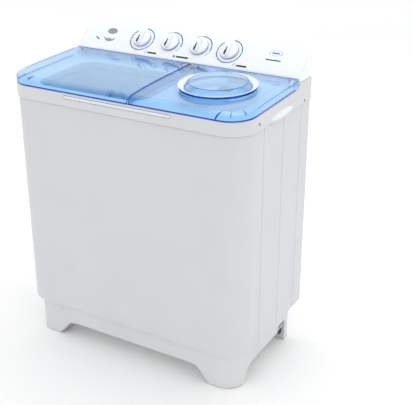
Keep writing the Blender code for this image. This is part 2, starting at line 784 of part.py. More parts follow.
def knuckle(x, pin_to, axis_y, axis_h, top_h):
    """A block under a lid around its axis, with a pin that reaches PIN_TO."""
    width = 0.008 if pin_to > x else -0.008
    low, high = sorted((x - width, x))
    outline = arc(axis_y, axis_h, LID_EAR_R, 180, 360, 5) + [
        (axis_y + LID_EAR_R, top_h), (axis_y - LID_EAR_R, top_h)
    ]
    block = prism("knuckle", outline, low, high, "X")
    near, far = sorted((x - width / 2, pin_to))
    add(block, prism("pin", circle(axis_y, axis_h, PIN_R, 12), near, far, "X"))
    return block


def lid_knuckles(lid, ears):
    """Knuckles between two ears, their pins pointing outwards into them."""
    axis_h = LID_AXIS_Z - deck(LID_AXIS_Y)
    left, right = ears
    inside = EAR_HALF + 0.001
    add(lid, knuckle(left + inside, left - EAR_HALF, LID_AXIS_Y, axis_h, LID_TOP - 0.001))
    add(lid, knuckle(right - inside, right + EAR_HALF, LID_AXIS_Y, axis_h, LID_TOP - 0.001))


LID_ORIGIN_X = {"wash_lid": -0.18, "spin_lid": SPIN_X}


def wash_lid():
    lid = lid_shell("wash_lid", -LID_X, LID_SPLIT - LID_GAP / 2, -1)
    lid_knuckles(lid, LID_EARS[:2])
    slope_with_deck(lid)
    finish(lid, blue_clear(), True, (LID_ORIGIN_X["wash_lid"], LID_AXIS_Y, LID_AXIS_Z))


def spin_lid():
    lid = lid_shell("spin_lid", LID_SPLIT + LID_GAP / 2, LID_X, 1)
    inner, outer, step = COLLAR_R, COLLAR_R + 0.003, COLLAR_STEP_R
    collar = [(inner, LID_TOP - 0.0045), (outer, LID_TOP - 0.0045), (outer, LID_TOP - 0.0010)]
    collar += [(step, LID_TOP - 0.0010), (step, LID_TOP + 0.0040), (outer, LID_TOP + 0.0040)]
    collar += [(outer, LID_TOP + 0.0078), (inner, LID_TOP + 0.0065)]
    add(lid, lathe("collar", collar, SPIN_X, SPIN_Y, 32))
    cut(lid, rod("window_hole", WINDOW_HOLE_R, -0.1, 0.1, SPIN_X, SPIN_Y, 32))
    lid_knuckles(lid, LID_EARS[2:])
    slope_with_deck(lid)
    axis = (LID_ORIGIN_X["spin_lid"], LID_AXIS_Y, LID_AXIS_Z)
    finish(lid, blue_clear(), True, axis)
    low = LID_TOP + 0.0002
    profile = [
        (WINDOW_HOLE_R, low + 0.0022), (RING_R, low + 0.0091), (RING_R, low + 0.0113),
        (WINDOW_HOLE_R, low + 0.0045)
    ]
    ring = lathe("window_ring", profile, SPIN_X, SPIN_Y, 32)
    slope_with_deck(ring)
    finish(ring, gloss_white(), True, axis)
    rim, top = WINDOW_HOLE_R - 0.0004, LID_TOP + WINDOW_RISE
    profile = [
        (0, top - WINDOW_WALL), (WINDOW_R - 0.0015, top - WINDOW_WALL), (rim - 0.0030, LID_TOP)
    ]
    profile += [(rim - 0.0030, LID_TOP - 0.0030), (rim, LID_TOP - 0.0030), (rim, LID_TOP + 0.0045)]
    profile += [(WINDOW_R, top), (0, top)]
    lens = lathe("window_lens", profile, SPIN_X, SPIN_Y, 32)
    slope_with_deck(lens)
    finish(lens, blue_clear(), True, axis)


def inner_lid():
    """The flap straight over the basket's mouth, under the clear lid."""
    axis_h = INNER_AXIS_RISE
    profile = [
        (0, 0.0008), (INNER_LID_R, 0.0008), (INNER_LID_R, 0.0030), (INNER_LID_R - 0.012, 0.0036),
        (0, 0.0036)
    ]
    lid = lathe("spin_inner_lid", profile, SPIN_X, SPIN_Y, 32)
    left, right = INNER_EARS
    inside = EAR_HALF + 0.001
    arm = box(
        "arm", (left + inside, 0.045, 0.0008),
        (right - inside, INNER_AXIS_Y + LID_EAR_R - 0.0005, 0.0034)
    )
    add(lid, arm)
    barrel = circle(INNER_AXIS_Y, axis_h, LID_EAR_R, 12)
    add(lid, prism("barrel", barrel, left + inside, right - inside, "X"))
    y0, y1 = INNER_AXIS_Y - 0.003, INNER_AXIS_Y + 0.003
    add(lid, box("web", (left + inside, y0, 0.002), (right - inside, y1, axis_h)))
    pin = circle(INNER_AXIS_Y, axis_h, PIN_R, 12)
    add(lid, prism("pins", pin, left - EAR_HALF, right + EAR_HALF, "X"))
    y0 = SPIN_Y - INNER_LID_R + 0.010
    add(lid, box("grip", (SPIN_X - 0.020, y0, 0.003), (SPIN_X + 0.020, y0 + 0.004, 0.010)))
    slope_with_deck(lid)
    finish(lid, white_plastic(), True, (SPIN_X, INNER_AXIS_Y, deck(INNER_AXIS_Y) + INNER_AXIS_RISE))


# ---------------------------------------------------------------- wash tub

def tub_outline(grow):
    x0, y0, x1, y1 = WASH_HOLE
    grow += MOULDING + 0.001
    return rounded(x0 - grow, y0 - grow, x1 + grow, y1 + grow, WASH_HOLE_RADIUS + grow)


def wash_tub():
    tub = prism("wash_tub", tub_outline(MOULDING), TUB_LOW, TUB_HIGH)
    add(tub, prism("rim", tub_outline(MOULDING + 0.006), TUB_HIGH - 0.003, TUB_HIGH))
    cut(tub, prism("inside", tub_outline(0), TUB_LOW + 0.004, 1))
    cut(tub, rod("shaft_hole", 0.0150, 0, 1, WASH_X, WASH_Y, 24))
    cut(tub, prism("drain_hole", circle(VALVE_X, TUB_LOW + 0.022, 0.012, 16), 0.05, 0.2, "Y"))
    finish(tub, tub_plastic(), smooth=True)


def pulsator():
    """The finned disc on the floor of the tub, on the gearbox's shaft."""
    low = TUB_LOW + 0.010
    profile = [
        (0, low), (0.124, low), (0.126, low + 0.004), (0.120, low + 0.008), (0.060, low + 0.012),
        (0.030, low + 0.024), (0, low + 0.028)
    ]
    disc = lathe("pulsator", profile, WASH_X, WASH_Y, 32)
    for k in range(4):
        fin = [
            (0.010, low + 0.004), (0.108, low + 0.004), (0.104, low + 0.020), (0.040, low + 0.032),
            (0.010, low + 0.032)
        ]
        blade = prism("blade", fin, -0.006, 0.006, "Y")
        turn = Matrix.Translation((WASH_X, WASH_Y, 0)) @ Matrix.Rotation(tau * k / 4 + 0.3, 4, "Z")
        add(disc, turned(blade, turn))
    axis = (WASH_X, WASH_Y, low)
    cut(disc, rod("bore", SHAFT_R + GAP, 0, low + 0.010, WASH_X, WASH_Y))
    finish(disc, gloss_white(), True, axis)
    shaft = rod("wash_shaft", SHAFT_R, 0.190, low + 0.010 - GAP, WASH_X, WASH_Y)
    finish(shaft, steel(), True, axis)


def wash_gearbox():
    """The sealed bearing and gear housing under the tub."""
    low, high = 0.250, TUB_LOW - GAP
    profile = [
        (SHAFT_R + 0.0003, low), (0.040, low), (0.052, low + 0.012), (0.052, high - 0.030),
        (0.034, high - 0.018)
    ]
    profile += [
        (0.070, high - 0.005), (0.070, high), (0.0145, high), (0.0145, high + 0.007),
        (SHAFT_R + 0.0003, high + 0.007)
    ]
    finish(lathe("wash_gearbox", profile, WASH_X, WASH_Y, 20), motor_steel(), True)


def pulley_profile(radius, low, high, bore_r):
    mid = (low + high) / 2
    return [
        (bore_r, low), (radius + 0.004, low), (radius + 0.004, low + 0.002),
        (radius - 0.0005, mid - 0.0055), (radius - 0.0005, mid + 0.0055),
        (radius + 0.004, high - 0.002), (radius + 0.004, high), (bore_r, high)
    ]


def wash_drive():
    low, high = BELT_Z - 0.009, BELT_Z + 0.009
    axis = (WASH_X, WASH_Y, BELT_Z)
    big = lathe(
        "wash_pulley", pulley_profile(BIG_PULLEY_R, low, high, SHAFT_R + GAP), WASH_X, WASH_Y, 20
    )
    for k in range(5):
        hole = rod("hole", 0.018, 0, 1, 0.045, 0, 6)
        turn = Matrix.Translation((WASH_X, WASH_Y, 0)) @ Matrix.Rotation(tau * k / 5, 4, "Z")
        cut(big, turned(hole, turn))
    finish(big, motor_steel(), True, axis)
    motor = rod("wash_motor", 0.052, 0.235, 0.330, MOTOR_X, WASH_Y, 32)
    near, far = WASH_Y - 0.066, WASH_Y + 0.066
    add(motor, box("bracket", (MOTOR_X - 0.020, near, 0.325), (MOTOR_X + 0.020, far, 0.333)))
    for side in (-1, 1):
        strut = box(
            "strut", (MOTOR_X - 0.012, WASH_Y + side * 0.062 - 0.003, 0.326),
            (MOTOR_X + 0.012, WASH_Y + side * 0.062 + 0.003, TUB_LOW - GAP)
        )
        add(motor, strut)
    cut(motor, rod("shaft_hole", SHAFT_R - 0.001, 0, 0.290, MOTOR_X, WASH_Y))
    finish(motor, motor_steel(), True)
    shaft_r = SHAFT_R - 0.0015
    profile = [
        (0, low - 0.004), (shaft_r, low - 0.004), (shaft_r, low), (SMALL_PULLEY_R + 0.004, low),
        (SMALL_PULLEY_R + 0.004, low + 0.002)
    ]
    profile += [
        (SMALL_PULLEY_R - 0.0005, BELT_Z - 0.0055), (SMALL_PULLEY_R - 0.0005, BELT_Z + 0.0055),
        (SMALL_PULLEY_R + 0.004, high - 0.002), (SMALL_PULLEY_R + 0.004, high)
    ]
    profile += [(shaft_r, high), (shaft_r, 0.285), (0, 0.285)]
    rotor = lathe("motor_pulley", profile, MOTOR_X, WASH_Y, 20)
    finish(rotor, steel(), True, (MOTOR_X, WASH_Y, BELT_Z))


def belt_outline(grow, steps=16):
    """Around both pulleys: two arcs joined by the tangents."""
    span = WASH_X - MOTOR_X
    big, small = BIG_PULLEY_R + grow, SMALL_PULLEY_R + grow
    lean = acos((big - small) / span) * 180 / pi
    points = arc(WASH_X, WASH_Y, big, lean - 180, 180 - lean, steps)
    return points + arc(MOTOR_X, WASH_Y, small, 180 - lean, 180 + lean, steps // 2)


def wash_belt():
    belt = prism("wash_belt", belt_outline(0.0055), BELT_Z - 0.0045, BELT_Z + 0.0045)
    cut(belt, prism("inside", belt_outline(GAP), 0, 1))
    finish(belt, rubber(), True)


def tub_fittings():
    x0, y0, x1, y1 = WASH_HOLE
    back = y1 + 0.0035
    right = x1 - 0.060
    cover = box("overflow_cover", (right - 0.050, back - 0.014, 0.430), (right, back, 0.790))
    cut(cover, box("channel", (right - 0.047, back - 0.011, 0.42), (right - 0.003, back + 0.01, 0.787)))
    for row in range(6):
        z = 0.700 + 0.012 * row
        cut(cover, box("slot", (right - 0.042, back - 0.03, z), (right - 0.008, back - 0.005, z + 0.005)))
    finish(cover, tub_plastic())
    filter_x = x0 + 0.110

    def across(half, near, far, low, high):
        return (filter_x - half, back + near, low), (filter_x + half, back + far, high)

    frame = box("lint_filter", *across(0.035, -0.012, 0, 0.620, 0.760))
    cut(frame, box("mouth", *across(0.027, -0.009, 0.01, 0.640, 0.752)))
    cut(frame, box("window", *across(0.020, -0.03, -0.005, 0.680, 0.745)))
    finish(frame, blue_clear())


# ---------------------------------------------------------------- spin drier

def spin_casing():
    r, t, low = SPIN_CASE_R, MOULDING, 0.402
    profile = [
        (0.030, low), (r, low), (r, 0.823), (r + 0.004, 0.823), (r + 0.004, 0.826), (r - t, 0.826),
        (r - t, low + t), (0.030, low + t)
    ]
    casing = lathe("spin_casing", profile, SPIN_X, SPIN_Y, 32)
    cut(casing, rod("drain_hole", 0.0100, 0, 0.5, SPIN_X, SPIN_Y + 0.100))
    finish(casing, tub_plastic(), True)


def spin_seal():
    """The rubber bellows that closes the casing's floor around the shaft."""
    low = 0.378
    profile = [
        (SHAFT_R + 0.0003, low), (0.012, low), (0.012, low + 0.006), (0.022, low + 0.010),
        (0.018, low + 0.016)
    ]
    profile += [
        (0.036, low + 0.0190), (0.036, 0.4017), (0.0297, 0.4017), (0.0297, 0.406), (0.0260, 0.406)
    ]
    profile += [
        (0.0260, low + 0.0215), (0.014, low + 0.0185), (0.018, low + 0.011),
        (SHAFT_R + 0.0003, low + 0.008)
    ]
    finish(lathe("spin_seal", profile, SPIN_X, SPIN_Y, 16), rubber(), True)


def spin_basket():
    r, t, low, high = BASKET_R, 0.002, BASKET_LOW, BASKET_HIGH
    profile = [
        (SHAFT_R + GAP, low - 0.010), (0.020, low - 0.010), (0.022, low), (r - 0.004, low),
        (r, low + 0.004), (r, high)
    ]
    profile += [
        (r - 0.015, high), (r - 0.015, high - 0.018), (r - t, high - 0.020), (r - t, low + 0.006),
        (0.030, low + 0.004), (0.020, low + 0.030), (SHAFT_R + GAP, low + 0.030)
    ]
    axis = (SPIN_X, SPIN_Y, low)
    basket = lathe("spin_basket", profile, SPIN_X, SPIN_Y, 32)
    finish(basket, tub_plastic(), True, axis)
    profile = [(0, 0.205), (SHAFT_R, 0.205), (SHAFT_R, low + 0.028), (0, low + 0.028)]
    finish(lathe("spin_shaft", profile, SPIN_X, SPIN_Y, 16), steel(), True, axis)
    profile = [
        (SHAFT_R + GAP, 0.240), (0.044, 0.240), (0.046, 0.242), (0.046, 0.262), (0.044, 0.264),
        (0.038, 0.264)
    ]
    profile += [(0.038, 0.246), (0.014, 0.246), (0.014, 0.280), (SHAFT_R + GAP, 0.280)]
    finish(lathe("brake_drum", profile, SPIN_X, SPIN_Y, 20), steel(), True, (SPIN_X, SPIN_Y, 0.25))


MOUNT_R = 0.070
BRAKE_PIVOT = (SPIN_X + 0.068, SPIN_Y + 0.020)


def spin_motor():
    motor = rod("spin_motor", 0.058, 0.112, 0.225, SPIN_X, SPIN_Y, 32)
    add(motor, rod("flange", 0.086, 0.104, 0.109 + 0.004, SPIN_X, SPIN_Y, 32))
    add(motor, rod("nose", 0.022, 0.224, 0.235, SPIN_X, SPIN_Y, 24))
    arm = box(
        "brake_arm", (BRAKE_PIVOT[0] - 0.008, BRAKE_PIVOT[1] - 0.008, 0.111),
        (BRAKE_PIVOT[0] + 0.008, BRAKE_PIVOT[1] + 0.008, 0.232)
    )
    add(motor, arm)
    cut(motor, rod("pivot_bore", PIN_R + 0.0001, 0.215, 0.5, *BRAKE_PIVOT))
    cut(motor, rod("shaft_hole", SHAFT_R + 0.0003, 0.203, 0.5, SPIN_X, SPIN_Y))
    finish(motor, motor_steel(), True)


def spin_springs():
    """Three coil springs between the base's floor and the motor's flange."""
    for k, name in enumerate(("right", "left", "front")):
        turn = tau * k / 3 + pi / 6
        x, y = SPIN_X + MOUNT_R * cos(turn), SPIN_Y + MOUNT_R * sin(turn)
        low, high, wire, radius = BASE_FLOOR + GAP, 0.104 - GAP, 0.0016, 0.0125
        rise = high - low - 2 * wire
        coils, per_turn = 3, 8
        path = []
        for i in range(coils * per_turn + 1):
            t = i / (coils * per_turn)
            a = tau * coils * t
            path.append(
                (x + radius * cos(a), y + radius * sin(a), low + wire + 0.0001 + (rise - 0.0002) * t)
            )
        finish(sweep("spin_spring_" + name, path, wire, steps=4), steel(), True)


def brake_lever():
    """A shoe beside the drum, swung against it when the spin lid opens."""
    px, py = BRAKE_PIVOT
    lever = box("brake_lever", (px - 0.006, py - 0.050, 0.244), (px + 0.006, py + 0.008, 0.252))
    pad = box("shoe", (SPIN_X + 0.0475, SPIN_Y - 0.008, 0.2445), (px - 0.004, SPIN_Y + 0.008, 0.2600))
    add(lever, pad)
    cut(lever, rod("drum_clearance", 0.0480, 0, 1, SPIN_X, SPIN_Y, 32))
    add(lever, rod("pivot", PIN_R, 0.217, 0.250, px, py))
    add(lever, rod("washer", 0.0055, 0.2325, 0.2445, px, py))
    finish(lever, steel(), False, (px, py, 0.25))


# ---------------------------------------------------------------- drain and electrics

VALVE_X = KNOB_FIRST_X + 2 * KNOB_SPACING
VALVE_LOW = 0.395
GLAND_X, GLAND_Z = 0.310, 0.180


def drain_valve():
    """A seat that the plunger closes, fed by a branch from the tub's floor."""
    profile = [
        (0.012, VALVE_LOW), (0.024, VALVE_LOW), (0.024, 0.450), (0.0205, 0.450),
        (0.0205, VALVE_LOW + 0.008), (0.012, VALVE_LOW + 0.008)
    ]
    body = lathe("drain_valve_body", profile, VALVE_X, VALVE_Y, 20)
    y0 = WASH_HOLE[3] + 2 * MOULDING + 0.001 + GAP
    z = TUB_LOW + 0.022
    add(body, prism("branch", circle(VALVE_X, z, 0.014, 16), y0, VALVE_Y - 0.022, "Y"))
    cut(body, prism("branch_bore", circle(VALVE_X, z, 0.0115, 16), y0 - 0.01, VALVE_Y - 0.010, "Y"))
    low, high = VALVE_LOW - 0.020, VALVE_LOW + 0.004
    spout = [(0.0085, low), (0.0125, low), (0.0125, high), (0.0085, high)]
    add(body, lathe("spout", spout, VALVE_X, VALVE_Y, 16))
    finish(body, tub_plastic(), True)
    profile = [
        (0, VALVE_LOW + 0.0085), (0.018, VALVE_LOW + 0.0085), (0.018, VALVE_LOW + 0.0125),
        (0.006, 0.425), (0.0060, 0.470)
    ]
    profile += [(0.002, 0.475), (0.002, 0.845), (0.007, 0.845), (0.007, 0.850), (0, 0.850)]
    plunger = lathe("drain_plunger", profile, VALVE_X, VALVE_Y, 16)
    finish(plunger, grey_plastic(), True, (VALVE_X, VALVE_Y, VALVE_LOW + 0.0085))


def drain_line():
    top = VALVE_LOW - 0.020 - GAP
    route = [
        (VALVE_X, VALVE_Y, top),
        (VALVE_X, VALVE_Y, top - 0.020),
        (VALVE_X, VALVE_Y, top - 0.050),
        (VALVE_X + 0.040, VALVE_Y - 0.005, top - 0.120),
        (VALVE_X + 0.150, VALVE_Y - 0.015, top - 0.175),
        (ELBOW_X - 0.050, ELBOW_Y + 0.020, 0.185),
        (ELBOW_X, ELBOW_Y, 0.150),
        (ELBOW_X, ELBOW_Y, 0.130),
        (ELBOW_X, ELBOW_Y, 0.112 + GAP),
    ]
    finish(sweep("drain_hose", smooth_path(route, 2), HOSE_R, HOSE_R - 0.002, 10), grey_plastic(), True)
    bend = [(ELBOW_X, ELBOW_Y, 0.112), (ELBOW_X, ELBOW_Y, 0.085), (ELBOW_X, ELBOW_Y, 0.066)]
    bend += [(x, ELBOW_Y, z) for x, z in arc(ELBOW_X + 0.010, 0.056, 0.010, 180, 270, 3)]
    bend += [(BASE_W / 2 - 0.003, ELBOW_Y, 0.046)]
    finish(sweep("drain_elbow", bend, HOSE_R - 0.0005, HOSE_R - 0.003, 12), grey_plastic(), True)
    low = 0.402 - GAP
    route = [
        (SPIN_X, SPIN_Y + 0.100, low), (SPIN_X, SPIN_Y + 0.100, 0.380),
        (SPIN_X, SPIN_Y + 0.100, 0.360), (SPIN_X + 0.030, SPIN_Y + 0.105, 0.300),
        (SPIN_X + 0.060, ELBOW_Y - 0.010, 0.200), (SPIN_X + 0.060, ELBOW_Y - 0.010, 0.140)
    ]
    finish(sweep("spin_drain_pipe", smooth_path(route, 2), 0.0095, 0.0075, 8), grey_plastic(), True)


def electrics():
    capacitor = rod("capacitor", 0.022, BASE_FLOOR + GAP, 0.150, 0.090, 0.130, 24)
    finish(capacitor, grey_plastic(), True)
    y = CASE_D / 2 - SHEET - GAP
    profile = [
        (0.0045, -0.012), (0.0080, -0.012), (0.0080, 0.0), (0.0120, 0.0), (0.0120, 0.0030),
        (0.0100, 0.0045), (0.0045, 0.0045)
    ]
    gland = lathe("cord_gland", profile, steps=16)
    place = Matrix.Translation((GLAND_X, y + GAP, GLAND_Z)) @ Matrix.Rotation(-pi / 2, 4, "X")
    finish(turned(gland, place), rubber(), True)


def main():
    clear_scene()
    for make in (
        base_plinth,
        foot_pads,
        cabinet_wrap,
        back_panel,
        panel_screws,
        top_frame,
        frame_screws,
        console_panel,
        console_rear_cover,
        knobs,
        console_switches,
        water_inlet,
        lid_switch,
        wash_lid,
        spin_lid,
        inner_lid,
        wash_tub,
        pulsator,
        wash_gearbox,
        wash_drive,
        wash_belt,
        tub_fittings,
        spin_casing,
        spin_seal,
        spin_basket,
        spin_motor,
        spin_springs,
        brake_lever,
        drain_valve,
        drain_line,
        electrics,
    ):
        make()


main()
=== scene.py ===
"""Looks of the twin tub washer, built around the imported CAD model."""

from math import cos, hypot, pi, radians, sin, sqrt, tan, tau

import bmesh
import bpy
from mathutils import Matrix, Vector


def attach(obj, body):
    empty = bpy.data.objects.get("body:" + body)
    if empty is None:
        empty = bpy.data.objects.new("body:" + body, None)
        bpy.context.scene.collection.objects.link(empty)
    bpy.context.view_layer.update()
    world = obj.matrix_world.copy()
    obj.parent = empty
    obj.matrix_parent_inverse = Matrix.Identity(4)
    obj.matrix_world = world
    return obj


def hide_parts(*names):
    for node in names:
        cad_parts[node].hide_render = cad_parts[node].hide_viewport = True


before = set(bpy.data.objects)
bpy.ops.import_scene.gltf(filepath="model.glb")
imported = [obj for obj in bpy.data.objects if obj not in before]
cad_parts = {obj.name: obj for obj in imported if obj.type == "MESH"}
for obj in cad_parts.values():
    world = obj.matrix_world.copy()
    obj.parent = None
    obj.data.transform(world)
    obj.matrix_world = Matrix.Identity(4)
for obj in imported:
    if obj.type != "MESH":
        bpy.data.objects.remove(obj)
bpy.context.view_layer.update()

# Cabinet and base
CASE_X, CASE_Y = 0.390, 0.210
CASE_LOW, CASE_HIGH = 0.1213, 0.7967
CASE_RADIUS = 0.070
SHEET = 0.002
BASE_X, BASE_Y = 0.373, 0.193
BASE_HIGH = 0.1350
BASE_FLOOR = 0.060
BASE_WALL = 0.004
PAD_PROUD = 0.0015
ARCH_HIGH = 0.055
FOOT_X = 0.279
FOOT_FRONT, FOOT_REAR = -0.143, 0.136
NOTCH_Y = (0.085, 0.136)
NOTCH_HIGH = 0.077
NOTCH_DEPTH = 0.050
GROOVES = (-0.087, 0.033, 0.148)

# Top frame
FRAME_X, FRAME_Y = 0.393, 0.213
FRAME_LOW = 0.797
DECK_FRONT = 0.8372
DECK_SLOPE = 0.034
LEDGE_Y = 0.131
LEDGE_HIGH = 0.8630
VALVE_Y = 0.160
ROD_HOLE_R = 0.009
WASH_HOLE = (-0.322, -0.180, 0.058, 0.082)
WASH_HOLE_RADIUS = 0.055
SPIN_X, SPIN_Y = 0.222, -0.040
SPIN_HOLE_R = 0.104
SCOOP = (-0.185, 0.175, 0.8195, 0.8310)
GRIP_Y, GRIP_Z = 0.019, 0.8070
GRIP_A, GRIP_B = 0.067, 0.0106
DIP_A, DIP_B = 0.075, 0.0075
FRAME_SCREWS = ((-0.121, 0.8150), (0.164, 0.8040))
SCREW_HOLE_R = 0.0042
FRAME_CORNERS = (0.073, 0.008)
FRAME_EDGE = 0.0030
FRAME_SKIN = 0.0026
FRAME_FOOT = 0.0022
MOUTH_EDGE = 0.0022
RISER_FOOT_Y, RISER_KNEE_Y, RISER_TOP_Y = 0.1130, 0.1208, 0.1300
RISER_KNEE_Z = 0.8543
BEAD_SECTION = ((-1.0, 0.0), (-0.9, 0.7), (-0.5, 1.2), (0.0, 1.4), (0.5, 1.2), (0.9, 0.7), (1.0, 0.0))

# Console
CONSOLE_X = 0.389
CONSOLE_LOW = 0.8633
PANEL_Y, PANEL_Z = 0.1275, 0.8755
PANEL_TILT = radians(40.2)
CONSOLE_BACK = 0.2095
HEIGHT = 0.9456
CORNER_A, CORNER_B = 0.040, 0.0258
KNOB_S = 0.058
KNOB_FIRST_X, KNOB_SPACING = -0.1697, 0.1036
KNOB_R = 0.029
KNOBS = ("wash_timer_knob", "wash_mode_knob", "drain_knob", "spin_timer_knob")
PRINT_LOW, PRINT_HIGH = -0.0004, 0.00012

# Lids
LID_FRONT = -0.2125
LID_SEAT = 0.0006
LID_THICK = 0.0025
LID_TOP = 0.0258
LID_AXIS_Y, LID_AXIS_Z = 0.1165, 0.8675
LID_SIDE = 0.3925
LID_GAP = 0.003
LID_CORNER = 0.0725
LID_SPLIT = 0.037
LID_EARS = (-0.3725, 0.0175, 0.0575, 0.3725)
EAR_R = 0.0038
EAR_HALF = 0.0025
EAR_GAP = 0.0010
PIN_R = 0.0025
INNER_EARS = (0.188, 0.256)
INNER_AXIS_Y, INNER_AXIS_RISE = 0.083, 0.0075
INNER_LID_R = 0.112
RING_R = 0.1112
WINDOW_HOLE_R = 0.0947
WINDOW_R = 0.0845
WINDOW_RISE = 0.0200
COLLAR_R = 0.1057
COLLAR_STEP_R = 0.1165

# Tubs
TUB_LOW, TUB_HIGH = 0.400, 0.828
WASH_X, WASH_Y = -0.132, -0.049
BASKET_R = 0.103
BASKET_LOW, BASKET_HIGH = 0.430, 0.790


# ---------------------------------------------------------------- shapes

def deck(y):
    """Height of the frame's sloping top surface."""
    return DECK_FRONT + DECK_SLOPE * (y + FRAME_Y)


def grid(rows, around=False, loop=False):
    """Quads between neighbouring rows; AROUND closes each row, LOOP joins the last to the first."""
    width = len(rows[0])
    faces = []
    for r in range(len(rows) if loop else len(rows) - 1):
        here, there = r * width, (r + 1) % len(rows) * width
        for c in range(width if around else width - 1):
            n = (c + 1) % width
            faces.append((here + c, here + n, there + n, there + c))
    return [point for row in rows for point in row], faces


def capped(rows):
    """A closed form through closed rows, with flat ends."""
    verts, faces = grid(rows, around=True)
    width = len(rows[0])
    faces.append(tuple(range(width)))
    faces.append(tuple(range(len(verts) - width, len(verts))))
    return verts, faces


def joined(*shapes):
    verts, faces = [], []
    for more_verts, more_faces in shapes:
        start = len(verts)
        verts += more_verts
        faces += [tuple(start + i for i in face) for face in more_faces]
    return verts, faces


def placed(shape, matrix):
    verts, faces = shape
    return [tuple(matrix @ Vector(v)) for v in verts], faces


def on_deck(shape):
    """A form made level at height 0, lifted to follow the deck."""
    verts, faces = shape
    return [(x, y, z + deck(y)) for x, y, z in verts], faces


def arc(cx, cy, radius, first, last, steps, squash=1.0):
    """Points of an arc; FIRST and LAST are in degrees."""
    turns = [radians(first + (last - first) * k / steps) for k in range(steps + 1)]
    return [(cx + radius * cos(t), cy + squash * radius * sin(t)) for t in turns]


def circle(cx, cy, radius, steps=96, squash=1.0):
    return arc(cx, cy, radius, 0, 360, steps, squash)[:-1]


def turned(profile, steps=96, closed=False, x=0.0, y=0.0):
    """A profile of (radius, height) turned about the vertical through (x, y)."""
    rows = [
        [(x + r * cos(tau * k / steps), y + r * sin(tau * k / steps), z) for k in range(steps)]
        for r, z in profile
    ]
    return grid(rows, around=True, loop=closed)


def eased(points, radius, steps=5, closed=False):
    """A 2-D line with each corner rounded; RADIUS is one number or one per point."""
    count = len(points)
    sizes = [radius] * count if isinstance(radius, float) else radius
    out = []
    for i, (here, size) in enumerate(zip(points, sizes)):
        if not closed and i in (0, count - 1):
            out.append(here)
            continue
        before, after = points[i - 1], points[(i + 1) % count]
        run_in = hypot(here[0] - before[0], here[1] - before[1])
        run_out = hypot(after[0] - here[0], after[1] - here[1])
        reach = min(size, 0.48 * run_in, 0.48 * run_out)
        if reach < 1e-7:
            out.append(here)
            continue
        a = [h + (b - h) * reach / run_in for h, b in zip(here, before)]
        b = [h + (c - h) * reach / run_out for h, c in zip(here, after)]
        for k in range(steps + 1):
            t = k / steps
            out.append(
                tuple((1 - t) ** 2 * p + 2 * t * (1 - t) * q + t * t * r for p, q, r in zip(a, here, b))
            )
    return out


def positions(low, high, coarse, *zones):
    """Steps from LOW to HIGH, COARSE apart, or as a zone (from, to, spacing) says."""
    out = [low]
    while out[-1] < high - 1e-6:
        at, size = out[-1], coarse
        for start, stop, fine in zones:
            if start - 1e-9 <= at < stop - 1e-9:
                size = fine
            elif at < start:
                size = min(size, start - at)
        out.append(min(high, at + size))
    return out


def outline(x0, y0, x1, y1, front, rear, steps=16, xs=None, ys=None):
    """A rounded rectangle, counter-clockwise from its left front, as (x, y, nx, ny)."""
    xs = xs or positions(x0, x1, 0.02)
    ys = ys or positions(y0, y1, 0.02)
    out = []

    def corner(cx, cy, radius, first):
        for k in range(steps + 1):
            a = radians(first + 90 * k / steps)
            out.append((cx + radius * cos(a), cy + radius * sin(a), cos(a), sin(a)))

    def inside(values, low, high):
        return [v for v in values if low + 1e-4 < v < high - 1e-4]

    corner(x0 + front, y0 + front, front, 180)
    out += [(x, y0, 0, -1) for x in inside(xs, x0 + front, x1 - front)]
    corner(x1 - front, y0 + front, front, 270)
    out += [(x1, y, 1, 0) for y in inside(ys, y0 + front, y1 - rear)]
    corner(x1 - rear, y1 - rear, rear, 0)
    out += [(x, y1, 0, 1) for x in reversed(inside(xs, x0 + rear, x1 - rear))]
    corner(x0 + rear, y1 - rear, rear, 90)
    out += [(x0, y, -1, 0) for y in reversed(inside(ys, y0 + front, y1 - rear))]
    return out


def inward(stations, distance):
    return [(x - nx * distance, y - ny * distance) for x, y, nx, ny in stations]


def with_normals(line):
    """Each point of an open line in a plane, with the unit normal on its right-hand side."""
    out = []
    for k, (a, b) in enumerate(line):
        (a0, b0), (a1, b1) = line[max(k - 1, 0)], line[min(k + 1, len(line) - 1)]
        size = hypot(a1 - a0, b1 - b0)
        out.append((a, b, (b1 - b0) / size, (a0 - a1) / size))
    return out


def swept(stations, profile):
    """A closed section swept round a closed outline; PROFILE gives (inset, height) at a station."""
    rows = []
    for x, y, nx, ny in stations:
        rows.append([(x - nx * d, y - ny * d, z) for d, z in profile(x, y, nx, ny)])
    return grid(rows, around=True, loop=True)


def block(low, high, edge=0.0006):
    """A box with rounded upright edges and eased rims."""
    stations = outline(low[0], low[1], high[0], high[1], edge, edge, 3)
    rims = [(edge, low[2]), (0.3 * edge, low[2] + 0.3 * edge), (0, low[2] + edge)]
    rims += [(0, high[2] - edge), (0.3 * edge, high[2] - 0.3 * edge), (edge, high[2])]
    return capped([[(x, y, z) for x, y in inward(stations, d * 0.95)] for d, z in rims])


def flat(loop, low, high, edge=0.0005):
    """A plate of any outline from LOW to HIGH, its rims eased by moving points to the middle."""
    cx = sum(p[0] for p in loop) / len(loop)
    cy = sum(p[1] for p in loop) / len(loop)
    size = max(hypot(x - cx, y - cy) for x, y in loop)

    def row(d, z):
        keep = 1 - d / size
        return [(cx + (x - cx) * keep, cy + (y - cy) * keep, z) for x, y in loop]

    steps = [(edge, low), (0.3 * edge, low + 0.3 * edge), (0, low + edge)]
    steps += [(0, high - edge), (0.3 * edge, high - 0.3 * edge), (edge, high)]
    return capped([row(d, z) for d, z in steps])


def along_x(shape):
    """Turns a plate drawn as (y, z) and raised in its own z so that it stands across X."""
    verts, faces = shape
    return [(c, a, b) for a, b, c in verts], faces


